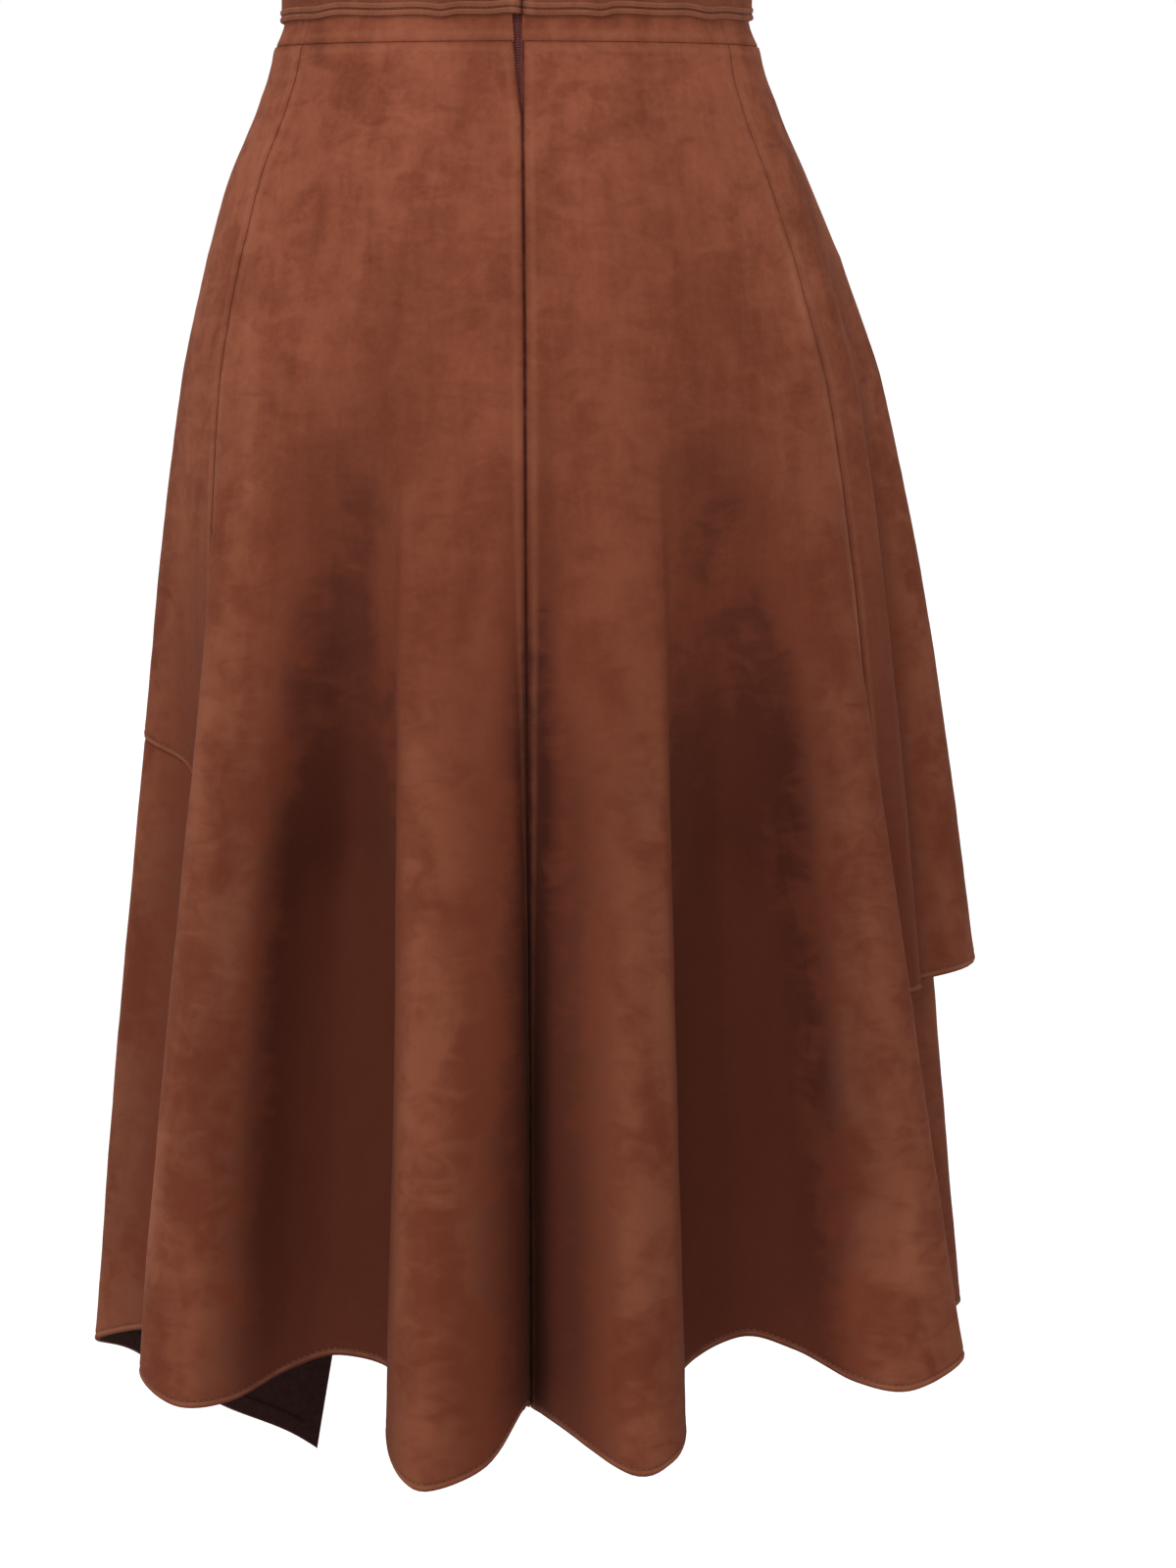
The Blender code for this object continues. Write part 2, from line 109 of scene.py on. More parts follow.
class Fold(NamedTuple):
    """One line that runs from waist to hem along a crest, a flank or a valley."""

    name: str
    turn: float
    across: float
    out: float
    hem: float
    start: float
    full: float


class Mark(NamedTuple):
    """Height of a slanting hem at a fold line."""

    fold: str
    height: float


SECTIONS = (
    Section(0.030, 0.1155, 0.1160, 0.0860, 0.0860),
    Section(-0.017, 0.1168, 0.1174, 0.0866, 0.0866),
    Section(-0.028, 0.1212, 0.1220, 0.0890, 0.0880),
    Section(-0.054, 0.1285, 0.1280, 0.0950, 0.0920),
    Section(-0.094, 0.1445, 0.1440, 0.1050, 0.0990),
    Section(-0.134, 0.1557, 0.1590, 0.1130, 0.1060),
    Section(-0.194, 0.1685, 0.1770, 0.1240, 0.1160),
    Section(-0.274, 0.1785, 0.1900, 0.1370, 0.1260),
    Section(-0.354, 0.1855, 0.1990, 0.1500, 0.1350),
    Section(-0.414, 0.1912, 0.2050, 0.1605, 0.1425),
    Section(-0.504, 0.1995, 0.2120, 0.1770, 0.1510),
    Section(-0.594, 0.2075, 0.2190, 0.1900, 0.1580),
    Section(-0.684, 0.2140, 0.2265, 0.2000, 0.1650),
    Section(-0.800, 0.2200, 0.2310, 0.2100, 0.1720),
)

FOLDS = (
    Fold("front_mid", -180, 0.00, 1.02, -0.655, -0.20, -0.68),
    Fold("front_left_valley", -162, -0.30, 0.945, -0.655, -0.20, -0.68),
    Fold("front_left_crest", -145, -0.53, 1.00, -0.655, -0.20, -0.68),
    Fold("front_left_turn", -126, -0.73, 0.76, -0.660, -0.20, -0.68),
    Fold("left_front_side", -108, -0.92, 0.38, -0.664, -0.12, -0.68),
    Fold("left_outline", -90, -1.00, 0.04, -0.668, -0.12, -0.68),
    Fold("left_hollow", -74, -0.86, -0.16, -0.668, -0.15, -0.40),
    Fold("left_seam", -60, -0.77, -0.38, -0.668, -0.15, -0.45),
    Fold("left_flare_edge", -55, -0.84, -0.57, -0.674, -0.15, -0.62),
    Fold("left_flare_crest", -49, -0.745, -0.755, -0.680, -0.15, -0.68),
    Fold("left_flare_inner", -41, -0.628, -0.71, -0.680, -0.15, -0.68),
    Fold("left_valley_outer", -33, -0.510, -0.60, -0.671, -0.17, -0.45),
    Fold("left_valley", -25, -0.393, -0.575, -0.665, -0.17, -0.42),
    Fold("left_lobe_tuck", -19.5, -0.262, -0.70, -0.668, -0.18, -0.50),
    Fold("left_lobe_edge", -17, -0.267, -0.875, -0.688, -0.18, -0.56),
    Fold("left_lobe_outer", -14, -0.238, -0.975, -0.700, -0.15, -0.66),
    Fold("left_lobe_crest", -9.5, -0.174, -1.035, -0.704, -0.15, -0.68),
    Fold("left_lobe_inner", -5.0, -0.050, -0.95, -0.697, -0.20, -0.66),
    Fold("left_lobe_flank", -1.0, 0.022, -0.86, -0.677, -0.22, -0.56),
    Fold("centre_back", 2.0, 0.040, -0.730, -0.682, -0.22, -0.54),
    Fold("right_lobe_inner", 7.5, 0.102, -0.85, -0.684, -0.22, -0.60),
    Fold("right_lobe_crest", 14.5, 0.25, -1.025, -0.697, -0.15, -0.68),
    Fold("right_lobe_outer", 19.5, 0.330, -0.985, -0.694, -0.15, -0.66),
    Fold("right_lobe_edge", 22, 0.360, -0.89, -0.686, -0.18, -0.56),
    Fold("right_lobe_tuck", 24.5, 0.353, -0.715, -0.668, -0.18, -0.50),
    Fold("right_valley", 31, 0.486, -0.565, -0.657, -0.17, -0.42),
    Fold("right_valley_outer", 39, 0.606, -0.585, -0.662, -0.17, -0.45),
    Fold("right_flare_inner", 45, 0.735, -0.70, -0.672, -0.15, -0.68),
    Fold("right_flare_crest", 50, 0.85, -0.71, -0.675, -0.15, -0.68),
    Fold("right_flare_edge", 55, 0.970, -0.56, -0.667, -0.15, -0.68),
    Fold("right_seam", 60, 0.875, -0.38, -0.664, -0.15, -0.60),
    Fold("right_side_fold", 68, 0.910, -0.30, -0.664, -0.10, -0.60),
    Fold("right_hollow", 76, 0.87, -0.16, -0.668, -0.07, -0.34),
    Fold("right_outline", 91, 1.00, 0.04, -0.669, -0.12, -0.68),
    Fold("right_front_side", 108, 0.92, 0.40, -0.664, -0.12, -0.68),
    Fold("front_right_turn", 126, 0.73, 0.78, -0.660, -0.20, -0.68),
    Fold("front_right_crest", 145, 0.50, 0.99, -0.655, -0.20, -0.68),
    Fold("front_right_valley", 162, 0.26, 0.955, -0.655, -0.20, -0.68),
)

WRAP_HEM = (
    Mark("left_seam", -0.668), Mark("left_hollow", -0.673), Mark("left_outline", -0.688),
    Mark("left_front_side", -0.708), Mark("front_left_turn", -0.749),
    Mark("front_left_crest", -0.777), Mark("front_left_valley", -0.802),
)
OVERLAY_HEM = (
    Mark("right_seam", -0.500), Mark("right_side_fold", -0.499), Mark("right_hollow", -0.498),
    Mark("right_outline", -0.494), Mark("right_front_side", -0.486),
    Mark("front_right_turn", -0.472), Mark("front_right_crest", -0.454),
    Mark("front_right_valley", -0.435), Mark("front_mid", -0.416),
    Mark("front_left_valley", -0.398), Mark("front_left_crest", -0.384),
    Mark("front_left_turn", -0.373), Mark("left_front_side", -0.368),
    Mark("left_outline", -0.380), Mark("left_hollow", -0.392), Mark("left_seam", -0.416),
)


def blend(low: Value, high: Value, share: Value) -> Value:
    """Straight mix of two numbers or arrays."""
    return low + (high - low) * share


def soft_step(low: float, high: float, value: np.ndarray) -> np.ndarray:
    """Smooth 0 to 1 between two values."""
    share = np.clip((value - low) / (high - low), 0.0, 1.0)
    return share * share * (3.0 - 2.0 * share)


class Ridge(NamedTuple):
    """Soft ridge, or a dent for a minus rise, at a distance from an edge."""

    rise: float
    at: float
    width: float

    def over(self, distance: np.ndarray) -> np.ndarray:
        """Relief at some distances from the edge, in metres."""
        return self.rise * np.exp(-(((distance - self.at) / self.width) ** 2))


def round_off(distance: np.ndarray, width: float) -> np.ndarray:
    """1 on an edge, falling off in a curve to 0 at a width."""
    return np.clip(1.0 - distance / width, 0.0, 1.0) ** 2


def both(grid: np.ndarray) -> np.ndarray:
    """The same values for the outer and the inner face of a wall."""
    return np.stack((grid, grid))


def catmull(a: Value, b: Value, c: Value, d: Value, share: Value) -> Value:
    """Catmull-Rom value between b and c."""
    return 0.5 * (2.0 * b + (c - a) * share + (2.0 * a - 5.0 * b + 4.0 * c - d) * share**2
                  + (3.0 * b - a - 3.0 * c + d) * share**3)


def wander(points: np.ndarray, pitch: float, tall: float = 1.0) -> np.ndarray:
    """Smooth random relief from -1 to 1.

    Args:
        points: Places in metres, one a row.
        pitch: Size of one swell in metres.
        tall: How many times taller than wide a swell is.

    Returns:
        One value for each point.
    """
    scaled = points / pitch
    scaled[:, 2] /= tall
    return np.array([noise.noise(row) for row in scaled.tolist()])


class Swell(NamedTuple):
    """Random relief of the cloth, of one size."""

    rise: float
    offset: float
    pitch: float
    tall: float

    def over(self, points: np.ndarray) -> np.ndarray:
        """Relief at some points, one a row, in metres."""
        return self.rise * wander(points + self.offset, self.pitch, self.tall)


def tight_band(points: list[list[float]]) -> list[list[float]]:
    """Corners of a band drawn tight round some plan points, anticlockwise."""
    ordered = sorted(points)
    halves = []
    for run in (ordered, ordered[::-1]):
        half: list[list[float]] = []
        for point in run:
            while len(half) > 1 and ((half[-1][0] - half[-2][0]) * (point[1] - half[-2][1])
                                     <= (half[-1][1] - half[-2][1]) * (point[0] - half[-2][0])):
                half.pop()
            half.append(point)
        halves.append(half[:-1])
    return halves[0] + halves[1]


@dataclass(frozen=True)
class Girth:
    """The closed curve that the cloth follows at each height."""

    fold_ease: float = 0.25
    let_out: float = 0.0655
    let_out_centre: float = 0.0365
    let_down: float = 0.0713
    let_down_from: float = 0.160
    count: int = len(FOLDS)
    depth_levels: tuple[float, float, int] = (-0.82, 0.03, 58)
    depth_steps: int = 14
    bend_reach: tuple[float, ...] = (1.5, 2.5, 3.5)

    def index(self, name: str) -> int:
        """Place of a named fold line on the girth."""
        return next(number for number, fold in enumerate(FOLDS) if fold.name == name)

    def section(self, height: np.ndarray) -> np.ndarray:
        """Half widths and depths at some heights.

        Args:
            height: Heights in metres.

        Returns:
            Left, right, back and front, in the last axis.
        """
        levels = np.array([row.height for row in SECTIONS])
        values = np.array([row[1:] for row in SECTIONS])
        last = len(SECTIONS) - 1
        row = np.clip(np.searchsorted(-levels, -height, side="left") - 1, 0, last - 1)
        share = np.clip((levels[row] - height) / (levels[row] - levels[row + 1]), 0.0, 1.0)
        near = [values[np.clip(row + step, 0, last)] for step in (-1, 0, 1, 2)]
        return catmull(*near, share[..., None])

    def fold_place(self, number: np.ndarray, height: np.ndarray, widths: np.ndarray) -> np.ndarray:
        """Plan positions of fold lines at some heights.

        Args:
            number: Which fold line, for each height.
            height: Heights in metres.
            widths: What `section` gives for them.

        Returns:
            Plan points, in the last axis.
        """
        table = np.array([fold[1:] for fold in FOLDS])[number]
        turn, across, out, _, start, full = np.moveaxis(table, -1, 0)
        grown = np.clip((start - height) / (start - full), 0.0, 1.0)
        grown = grown * grown * (1.0 + self.fold_ease) / (grown + self.fold_ease)
        angle = np.radians(turn)
        across = blend(np.sin(angle), across, grown)
        out = blend(-np.cos(angle), out, grown)
        left, right, back, front = np.moveaxis(widths, -1, 0)
        return np.stack((across * np.where(across > 0, right, left),
                         out * np.where(out > 0, front, back)), axis=-1)

    def plan(self, place: np.ndarray, height: np.ndarray) -> np.ndarray:
        """Plan points of the girth curve.

        Args:
            place: Places on the girth, counted in fold lines.
            height: Heights in metres.

        Returns:
            Plan points, in the last axis.
        """
        place, height = np.broadcast_arrays(np.asarray(place, float), np.asarray(height, float))
        base = np.floor(place).astype(int)
        widths = self.section(height)
        near = [self.fold_place((base + step) % self.count, height, widths)
                for step in (-1, 0, 1, 2)]
        return catmull(*near, (place - base)[..., None])

    def outward(self, place: np.ndarray, height: np.ndarray) -> np.ndarray:
        """Unit plan normals of the girth curve, away from the body.

        Args:
            place: Places on the girth.
            height: Heights in metres.

        Returns:
            Plan vectors, in the last axis.
        """
        along = self.plan(place + 0.05, height) - self.plan(place - 0.05, height)
        along /= np.linalg.norm(along, axis=-1, keepdims=True)
        return np.stack((along[..., 1], -along[..., 0]), axis=-1)

    def surface(self, place: np.ndarray, height: np.ndarray, stand: np.ndarray,
                shift: np.ndarray | float = 0.0) -> np.ndarray:
        """Points that stand outside the girth curve, before the pattern is let out.

        Args:
            place: Places on the girth.
            height: Heights in metres.
            stand: Distances outside the curve.
            shift: Distances along the curve.

        Returns:
            Points, in the last axis.
        """
        place, height = np.broadcast_arrays(np.asarray(place, float), np.asarray(height, float))
        normal = self.outward(place, height)
        plan = self.plan(place, height)
        return np.stack((plan[..., 0] + normal[..., 0] * stand - normal[..., 1] * shift,
                         plan[..., 1] + normal[..., 1] * stand + normal[..., 0] * shift,
                         height), axis=-1)

    def finished(self, points: np.ndarray) -> np.ndarray:
        """Let the base pattern out and down to the finished skirt.

        Args:
            points: Points of the base pattern, in the last axis.

        Returns:
            Points of the finished skirt.
        """
        below = np.maximum(0.0, -points[..., 2])
        longer = self.let_down * np.maximum(0.0, below - self.let_down_from) ** 2
        across = points[..., 0] + self.let_out * below * (points[..., 0] - self.let_out_centre)
        return np.stack((across, points[..., 1], points[..., 2] - longer), axis=-1)

    def slide(self, place: float, height: np.ndarray, distance: np.ndarray) -> np.ndarray:
        """Places a small distance further along the girth.

        Args:
            place: Place to start from.
            height: Heights in metres.
            distance: Distances in metres, minus to go back.

        Returns:
            Places on the girth.
        """
        height, distance = np.broadcast_arrays(np.asarray(height, float), distance)
        here = np.full(height.shape, float(place))
        for _ in range(4):
            start = self.plan(np.full(height.shape, float(place)), height)
            gone = np.linalg.norm(self.plan(here, height) - start, axis=-1) * np.sign(here - place)
            pace = np.linalg.norm(self.plan(here + 0.01, height) - self.plan(here - 0.01, height),
                                  axis=-1) / 0.02
            here = here + (distance - gone) / pace
        return here

    def place_of_turn(self, turn: np.ndarray) -> np.ndarray:
        """Places of angles round the waist, in degrees from centre back."""
        turns = np.array([fold.turn for fold in FOLDS] + [180.0])
        lap = np.floor((turn + 180.0) / 360.0)
        return lap * self.count + np.interp(turn - 360.0 * lap, turns, np.arange(len(turns)))

    def turn_of_place(self, place: np.ndarray) -> np.ndarray:
        """Angles round the waist of places on the girth."""
        turns = np.array([fold.turn for fold in FOLDS] + [180.0])
        lap = np.floor(place / self.count)
        return lap * 360.0 + np.interp(place - lap * self.count, np.arange(len(turns)), turns)

    def even_place(self, first: np.ndarray, last: np.ndarray, share: np.ndarray) -> np.ndarray:
        """Places that divide the waist between two places by equal angles."""
        return self.place_of_turn(blend(self.turn_of_place(first), self.turn_of_place(last), share))

    def level_hem(self, place: np.ndarray) -> np.ndarray:
        """Heights of the level hem."""
        hems = np.array([fold.hem for fold in FOLDS])
        base = np.floor(place).astype(int)
        near = [hems[(base + step) % self.count] for step in (-1, 0, 1, 2)]
        return catmull(*near, place - base)

    def slanting_hem(self, table: Sequence[Mark], place: np.ndarray) -> np.ndarray:
        """Heights of a slanting hem.

        Args:
            table: The hem's height at some fold lines, in order round the skirt.
            place: Places on the girth.

        Returns:
            Heights in metres.
        """
        marks: list[tuple[float, float]] = []
        for row in table:
            mark = self.index(row.fold)
            if marks:
                mark += self.count * round((marks[-1][0] - mark) / self.count)
            marks.append((mark, row.height))
        marks.sort()
        at = np.array([mark[0] for mark in marks], float)
        heights = np.array([mark[1] for mark in marks])
        middle = 0.5 * (at[0] + at[-1])
        place = place + self.count * np.round((middle - place) / self.count)
        place = np.clip(place, at[0], at[-1])
        last = len(marks) - 1
        row = np.clip(np.searchsorted(at, place, side="left") - 1, 0, last - 1)
        share = (place - at[row]) / (at[row + 1] - at[row])
        near = [heights[np.clip(row + step, 0, last)] for step in (-1, 0, 1, 2)]
        return catmull(*near, share)

    def depth(self, place: np.ndarray, height: np.ndarray) -> np.ndarray:
        """How deep the cloth lies behind a band drawn tight round the folds.

        Args:
            place: Places on the girth.
            height: Heights in metres.

        Returns:
            Distances in metres, nought on the crests.
        """
        levels = np.linspace(*self.depth_levels)
        around = np.linspace(0.0, self.count, self.count * self.depth_steps + 1)
        table = np.zeros((len(levels), len(around)))
        for row, level in enumerate(levels):
            curve = self.plan(around, np.full(around.shape, level))
            band = np.array(tight_band(curve.tolist()))
            along = np.roll(band, -1, axis=0) - band
            inward = np.stack((-along[:, 1], along[:, 0]), axis=-1)
            inward /= np.linalg.norm(along, axis=1)[:, None]
            table[row] = ((curve[:, None, :] - band[None]) * inward[None]).sum(-1).min(axis=1)
        at = np.clip((height - levels[0]) / (levels[1] - levels[0]), 0.0, len(levels) - 1.001)
        over = (place % self.count) * self.depth_steps
        row, column = at.astype(int), np.minimum(over.astype(int), len(around) - 2)
        low = blend(table[row, column], table[row, column + 1], over - column)
        high = blend(table[row + 1, column], table[row + 1, column + 1], over - column)
        return blend(low, high, at - row)

    def bend(self, place: np.ndarray, height: np.ndarray) -> np.ndarray:
        """How the cloth turns round a fold.

        Args:
            place: Places on the girth.
            height: Heights in metres.

        Returns:
            Depths in metres, minus on a crest.
        """
        here = self.plan(place, height)
        normal = self.outward(place, height)
        depth = np.zeros(here.shape[:-1])
        for reach in self.bend_reach:
            middle = 0.5 * (self.plan(place + reach, height) + self.plan(place - reach, height))
            depth += ((middle - here) * normal).sum(axis=-1) / len(self.bend_reach)
        return depth


GIRTH = Girth()


# ---------------------------------------------------------------- meshes
def pick_only(piece: bpy.types.Object) -> None:
    """Select one object alone and make it the active one."""
    bpy.ops.object.select_all(action="DESELECT")
    piece.select_set(True)
    bpy.context.view_layer.objects.active = piece


def finish_piece(piece: bpy.types.Object, name: str, material: bpy.types.Material,
                 crisp: float) -> bpy.types.Object:
    """Name a piece, give it one material and smooth all but its sharp edges.

    Args:
        piece: The piece.
        name: Its name.
        material: What it is made of.
        crisp: Edges that turn more than this many degrees stay sharp.

    Returns:
        The piece.
    """
    piece.name = name
    piece.data.materials.clear()
    piece.data.materials.append(material)
    pick_only(piece)
    bpy.ops.object.shade_smooth_by_angle(angle=math.radians(crisp))
    return piece


def link_piece(name: str, mesh: bpy.types.Mesh, material: bpy.types.Material,
               crisp: float) -> bpy.types.Object:
    """Put a mesh in the scene as a finished piece."""
    mesh.update()
    piece = bpy.data.objects.new(name, mesh)
    bpy.context.scene.collection.objects.link(piece)
    return finish_piece(piece, name, material, crisp)


def closed_wall(name: str, outer: np.ndarray, inner: np.ndarray, facts: dict[str, np.ndarray],
                material: bpy.types.Material, crisp: float = 48.0) -> bpy.types.Object:
    """Closed wall between an outer and an inner grid of points.

    Args:
        name: Name of the piece.
        outer: Grid of points, columns by rows, that runs round the skirt and downward.
        inner: The same grid on the inner face.
        facts: Values for the nodes to read, one grid each for both faces, stacked.
        material: What the piece is made of.
        crisp: Edges that turn more than this many degrees stay sharp.

    Returns:
        The piece.
    """
    columns, rows = outer.shape[:2]
    number = np.arange(columns * rows).reshape(columns, rows)
    back = number + columns * rows

    def quads(*corners: np.ndarray) -> np.ndarray:
        """Faces from four arrays of corners."""
        return np.stack([part.ravel() for part in corners], axis=-1)

    faces = np.concatenate((
        quads(number[:-1, :-1], number[:-1, 1:], number[1:, 1:], number[1:, :-1]),
        quads(back[:-1, 1:], back[:-1, :-1], back[1:, :-1], back[1:, 1:]),
        quads(number[:-1, -1], back[:-1, -1], back[1:, -1], number[1:, -1]),
        quads(back[:-1, 0], number[:-1, 0], number[1:, 0], back[1:, 0]),
        quads(number[0, 1:], number[0, :-1], back[0, :-1], back[0, 1:]),
        quads(number[-1, :-1], number[-1, 1:], back[-1, 1:], back[-1, :-1]),
    ))
    points = np.concatenate((outer.reshape(-1, 3), inner.reshape(-1, 3)))
    mesh = bpy.data.meshes.new(name)
    mesh.from_pydata(GIRTH.finished(points).tolist(), [], faces.tolist())
    for fact, value in facts.items():
        layer = mesh.attributes.new(fact, "FLOAT", "POINT")
        layer.data.foreach_set("value", np.ascontiguousarray(value, dtype=np.float32).ravel())
    return link_piece(name, mesh, material, crisp)


def run_lengths(points: np.ndarray, axis: int) -> np.ndarray:
    """Distance run along one axis of a grid of points, from its first row."""
    steps = np.linalg.norm(np.diff(points, axis=axis), axis=-1)
    start = np.zeros_like(np.take(steps, [0], axis=axis))
    return np.concatenate((start, np.cumsum(steps, axis=axis)), axis=axis)


def dress(piece: bpy.types.Object, nodes: Iterable[str] = ()) -> bpy.types.Object:
    """Ride a piece on the skirt and the solids that it stands for."""
    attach(piece, "root")
    if nodes:
        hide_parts(*nodes)
    LOG.info("%s: %d faces, stands for %s", piece.name, len(piece.data.polygons),
             ", ".join(nodes) or "nothing")
    return piece


# ---------------------------------------------------------------- nodes
class Bench:
    """Adds and wires nodes in one tree."""

    def __init__(self, tree: bpy.types.NodeTree) -> None:
        """Keep the tree to work on."""
        self.tree = tree

    def add(self, kind: str, **settings: object) -> bpy.types.Node:
        """New node with some of its settings."""
        node = self.tree.nodes.new(kind)
        for key, value in settings.items():
            setattr(node, key, value)
        return node

    def feed(self, socket: bpy.types.NodeSocket, value: Feed) -> None:
        """Give an input a constant or another node's output."""
        if isinstance(value, bpy.types.NodeSocket):
            self.tree.links.new(value, socket)
        elif value is not None:
            socket.default_value = value

    def math(self, operation: str, a: Feed, b: Feed = None,
             clamp: bool = False) -> bpy.types.NodeSocket:
        """Result of one sum."""
        node = self.add("ShaderNodeMath", operation=operation, use_clamp=clamp)
        self.feed(node.inputs[0], a)
        self.feed(node.inputs[1], b)
        return node.outputs[0]

    def noise(self, vector: Feed, scale: Feed, detail: float = 2.0, rough: float = 0.5,
              distortion: float = 0.0) -> bpy.types.NodeSocket:
        """Smooth noise."""
        node = self.add("ShaderNodeTexNoise")
        for key, value in (("Vector", vector), ("Scale", scale), ("Detail", detail),
                           ("Roughness", rough), ("Distortion", distortion)):
            self.feed(node.inputs[key], value)
        return node.outputs["Fac"]

    def span(self, value: Feed, low: Feed, high: Feed, to_low: Feed = 0.0, to_high: Feed = 1.0,
             smooth: bool = True) -> bpy.types.NodeSocket:
        """Value moved from one span to another and held inside it."""
        node = self.add("ShaderNodeMapRange", clamp=True)
        node.interpolation_type = "SMOOTHSTEP" if smooth else "LINEAR"
        for number, part in enumerate((value, low, high, to_low, to_high)):
            self.feed(node.inputs[number], part)
        return node.outputs["Result"]

    def stretch(self, vector: Feed, scale: tuple[float, float, float]) -> bpy.types.NodeSocket:
        """Coordinates scaled along each axis."""
        node = self.add("ShaderNodeMapping")
        self.feed(node.inputs["Vector"], vector)
        node.inputs["Scale"].default_value = scale
        return node.outputs["Vector"]

    def mix(self, share: Feed, a: Feed, b: Feed) -> bpy.types.NodeSocket:
        """Mix of two colours."""
        node = self.add("ShaderNodeMix", data_type="RGBA", clamp_factor=True)
        self.feed(node.inputs[0], share)
        for number, colour in ((6, a), (7, b)):
            self.feed(node.inputs[number], (*colour, 1.0) if isinstance(colour, tuple) else colour)
        return node.outputs[2]

    def fact(self, name: str) -> bpy.types.NodeSocket:
        """Value that the mesh carries for its nodes."""
        return self.add("ShaderNodeAttribute", attribute_name=name).outputs["Fac"]

    def object_place(self) -> bpy.types.NodeSocket:
        """Place on the skirt, in metres."""
        return self.add("ShaderNodeTexCoord").outputs["Object"]

    def split(self, vector: bpy.types.NodeSocket) -> bpy.types.Node:
        """The three parts of a vector."""
        node = self.add("ShaderNodeSeparateXYZ")
        self.feed(node.inputs[0], vector)
        return node

    def weigh(self, *parts: tuple[bpy.types.NodeSocket, float]) -> bpy.types.NodeSocket:
        """Sum of some values, each times its weight."""
        total = None
        for value, weight in parts:
            part = self.math("MULTIPLY", value, weight)
            total = part if total is None else self.math("ADD", total, part)
        return total

    def bump(self, shader: bpy.types.Node, height: bpy.types.NodeSocket, strength: float,
             distance: float) -> None:
        """Feed a relief to a shader's normal."""
        node = self.add("ShaderNodeBump")
        node.inputs["Strength"].default_value = strength
        node.inputs["Distance"].default_value = distance
        self.feed(node.inputs["Height"], height)
        self.feed(shader.inputs["Normal"], node.outputs["Normal"])

    def group(self, tree: bpy.types.NodeTree, **values: Feed) -> bpy.types.Node:
        """A shared effect with this material's own values."""
        node = self.add("ShaderNodeGroup", node_tree=tree)
        for key, value in values.items():
            self.feed(node.inputs[key.replace("_", " ").title()], value)
        return node


def new_group(name: str, inputs: dict[str, float | None], outputs: Sequence[str]
              ) -> tuple[bpy.types.NodeTree, Bench, bpy.types.Node, bpy.types.Node]:
    """Empty node group.

    Args:
        name: Name of the group.
        inputs: Each input and its usual value, or None for a vector.
        outputs: Names of the outputs.

    Returns:
        The tree, its bench, its input node and its output node.
    """
    tree = bpy.data.node_groups.new(name, "ShaderNodeTree")
    for key, value in inputs.items():
        kind = "NodeSocketVector" if value is None else "NodeSocketFloat"
        socket = tree.interface.new_socket(name=key, in_out="INPUT", socket_type=kind)
        if value is not None:
            socket.default_value = value
    for key in outputs:
        tree.interface.new_socket(name=key, in_out="OUTPUT", socket_type="NodeSocketFloat")
    bench = Bench(tree)
    return tree, bench, bench.add("NodeGroupInput"), bench.add("NodeGroupOutput")


def nap_group() -> bpy.types.NodeTree:
    """Brushed nap: clouds where the fibres lie differently, drawn streaks, and the fibres."""
    tree, bench, given, out = new_group(
        "brushed_nap", {"Vector": None, "Cloud": 24.0, "Streak": 120.0, "Fibre": 1500.0},
        ("Clouds", "Streaks", "Grain", "Height"))
    vector = given.outputs["Vector"]
    tall = bench.stretch(vector, (1.0, 1.0, 0.62))
    clouds = bench.noise(tall, given.outputs["Cloud"], 4.0, 0.52, 0.5)
    wide = bench.stretch(vector, (0.7, 0.7, 1.35))
    patches = bench.noise(wide, bench.math("MULTIPLY", given.outputs["Cloud"], 3.0), 3.0, 0.5, 0.9)
    clouds = bench.weigh((clouds, 0.66), (patches, 0.34))
    drawn = bench.stretch(vector, (1.0, 1.0, 0.09))
    streaks = bench.noise(drawn, given.outputs["Streak"], 3.0, 0.55, 0.2)
    clumps = bench.noise(vector, bench.math("MULTIPLY", given.outputs["Fibre"], 0.22), 3.0, 0.6)
    fibre = bench.noise(vector, given.outputs["Fibre"], 2.0, 0.6, 0.8)
    grain = bench.weigh((clumps, 0.6), (fibre, 0.4))
    bench.feed(out.inputs["Clouds"], bench.span(clouds, 0.375, 0.625))
    bench.feed(out.inputs["Streaks"], bench.span(streaks, 0.33, 0.67))
    bench.feed(out.inputs["Grain"], bench.span(grain, 0.36, 0.64))
    bench.feed(out.inputs["Height"], bench.weigh((fibre, 0.55), (clumps, 0.45)))
    return tree


def edge_band_group() -> bpy.types.NodeTree:
    """Line at a distance from an edge, broken into patches; the finishes use it for wear, painted
    shade and painted highlights.
    """
    tree, bench, given, out = new_group(
        "edge_band_mask", {"Vector": None, "Distance": 0.0, "At": 0.0, "Width": 0.001,
                        "Gaps": 0.4}, ("Mask",))
    off = bench.math("ABSOLUTE", bench.math("SUBTRACT", given.outputs["Distance"],
                                            given.outputs["At"]))
    line = bench.span(off, 0.0, given.outputs["Width"], 1.0, 0.0)
    patches = bench.span(bench.noise(given.outputs["Vector"], 90.0, 3.0), 0.3, 0.6)
    kept = bench.math("SUBTRACT", 1.0, bench.math("MULTIPLY", given.outputs["Gaps"],
                                                  bench.math("SUBTRACT", 1.0, patches)))
    bench.feed(out.inputs["Mask"], bench.math("MULTIPLY", line, kept, clamp=True))
    return tree


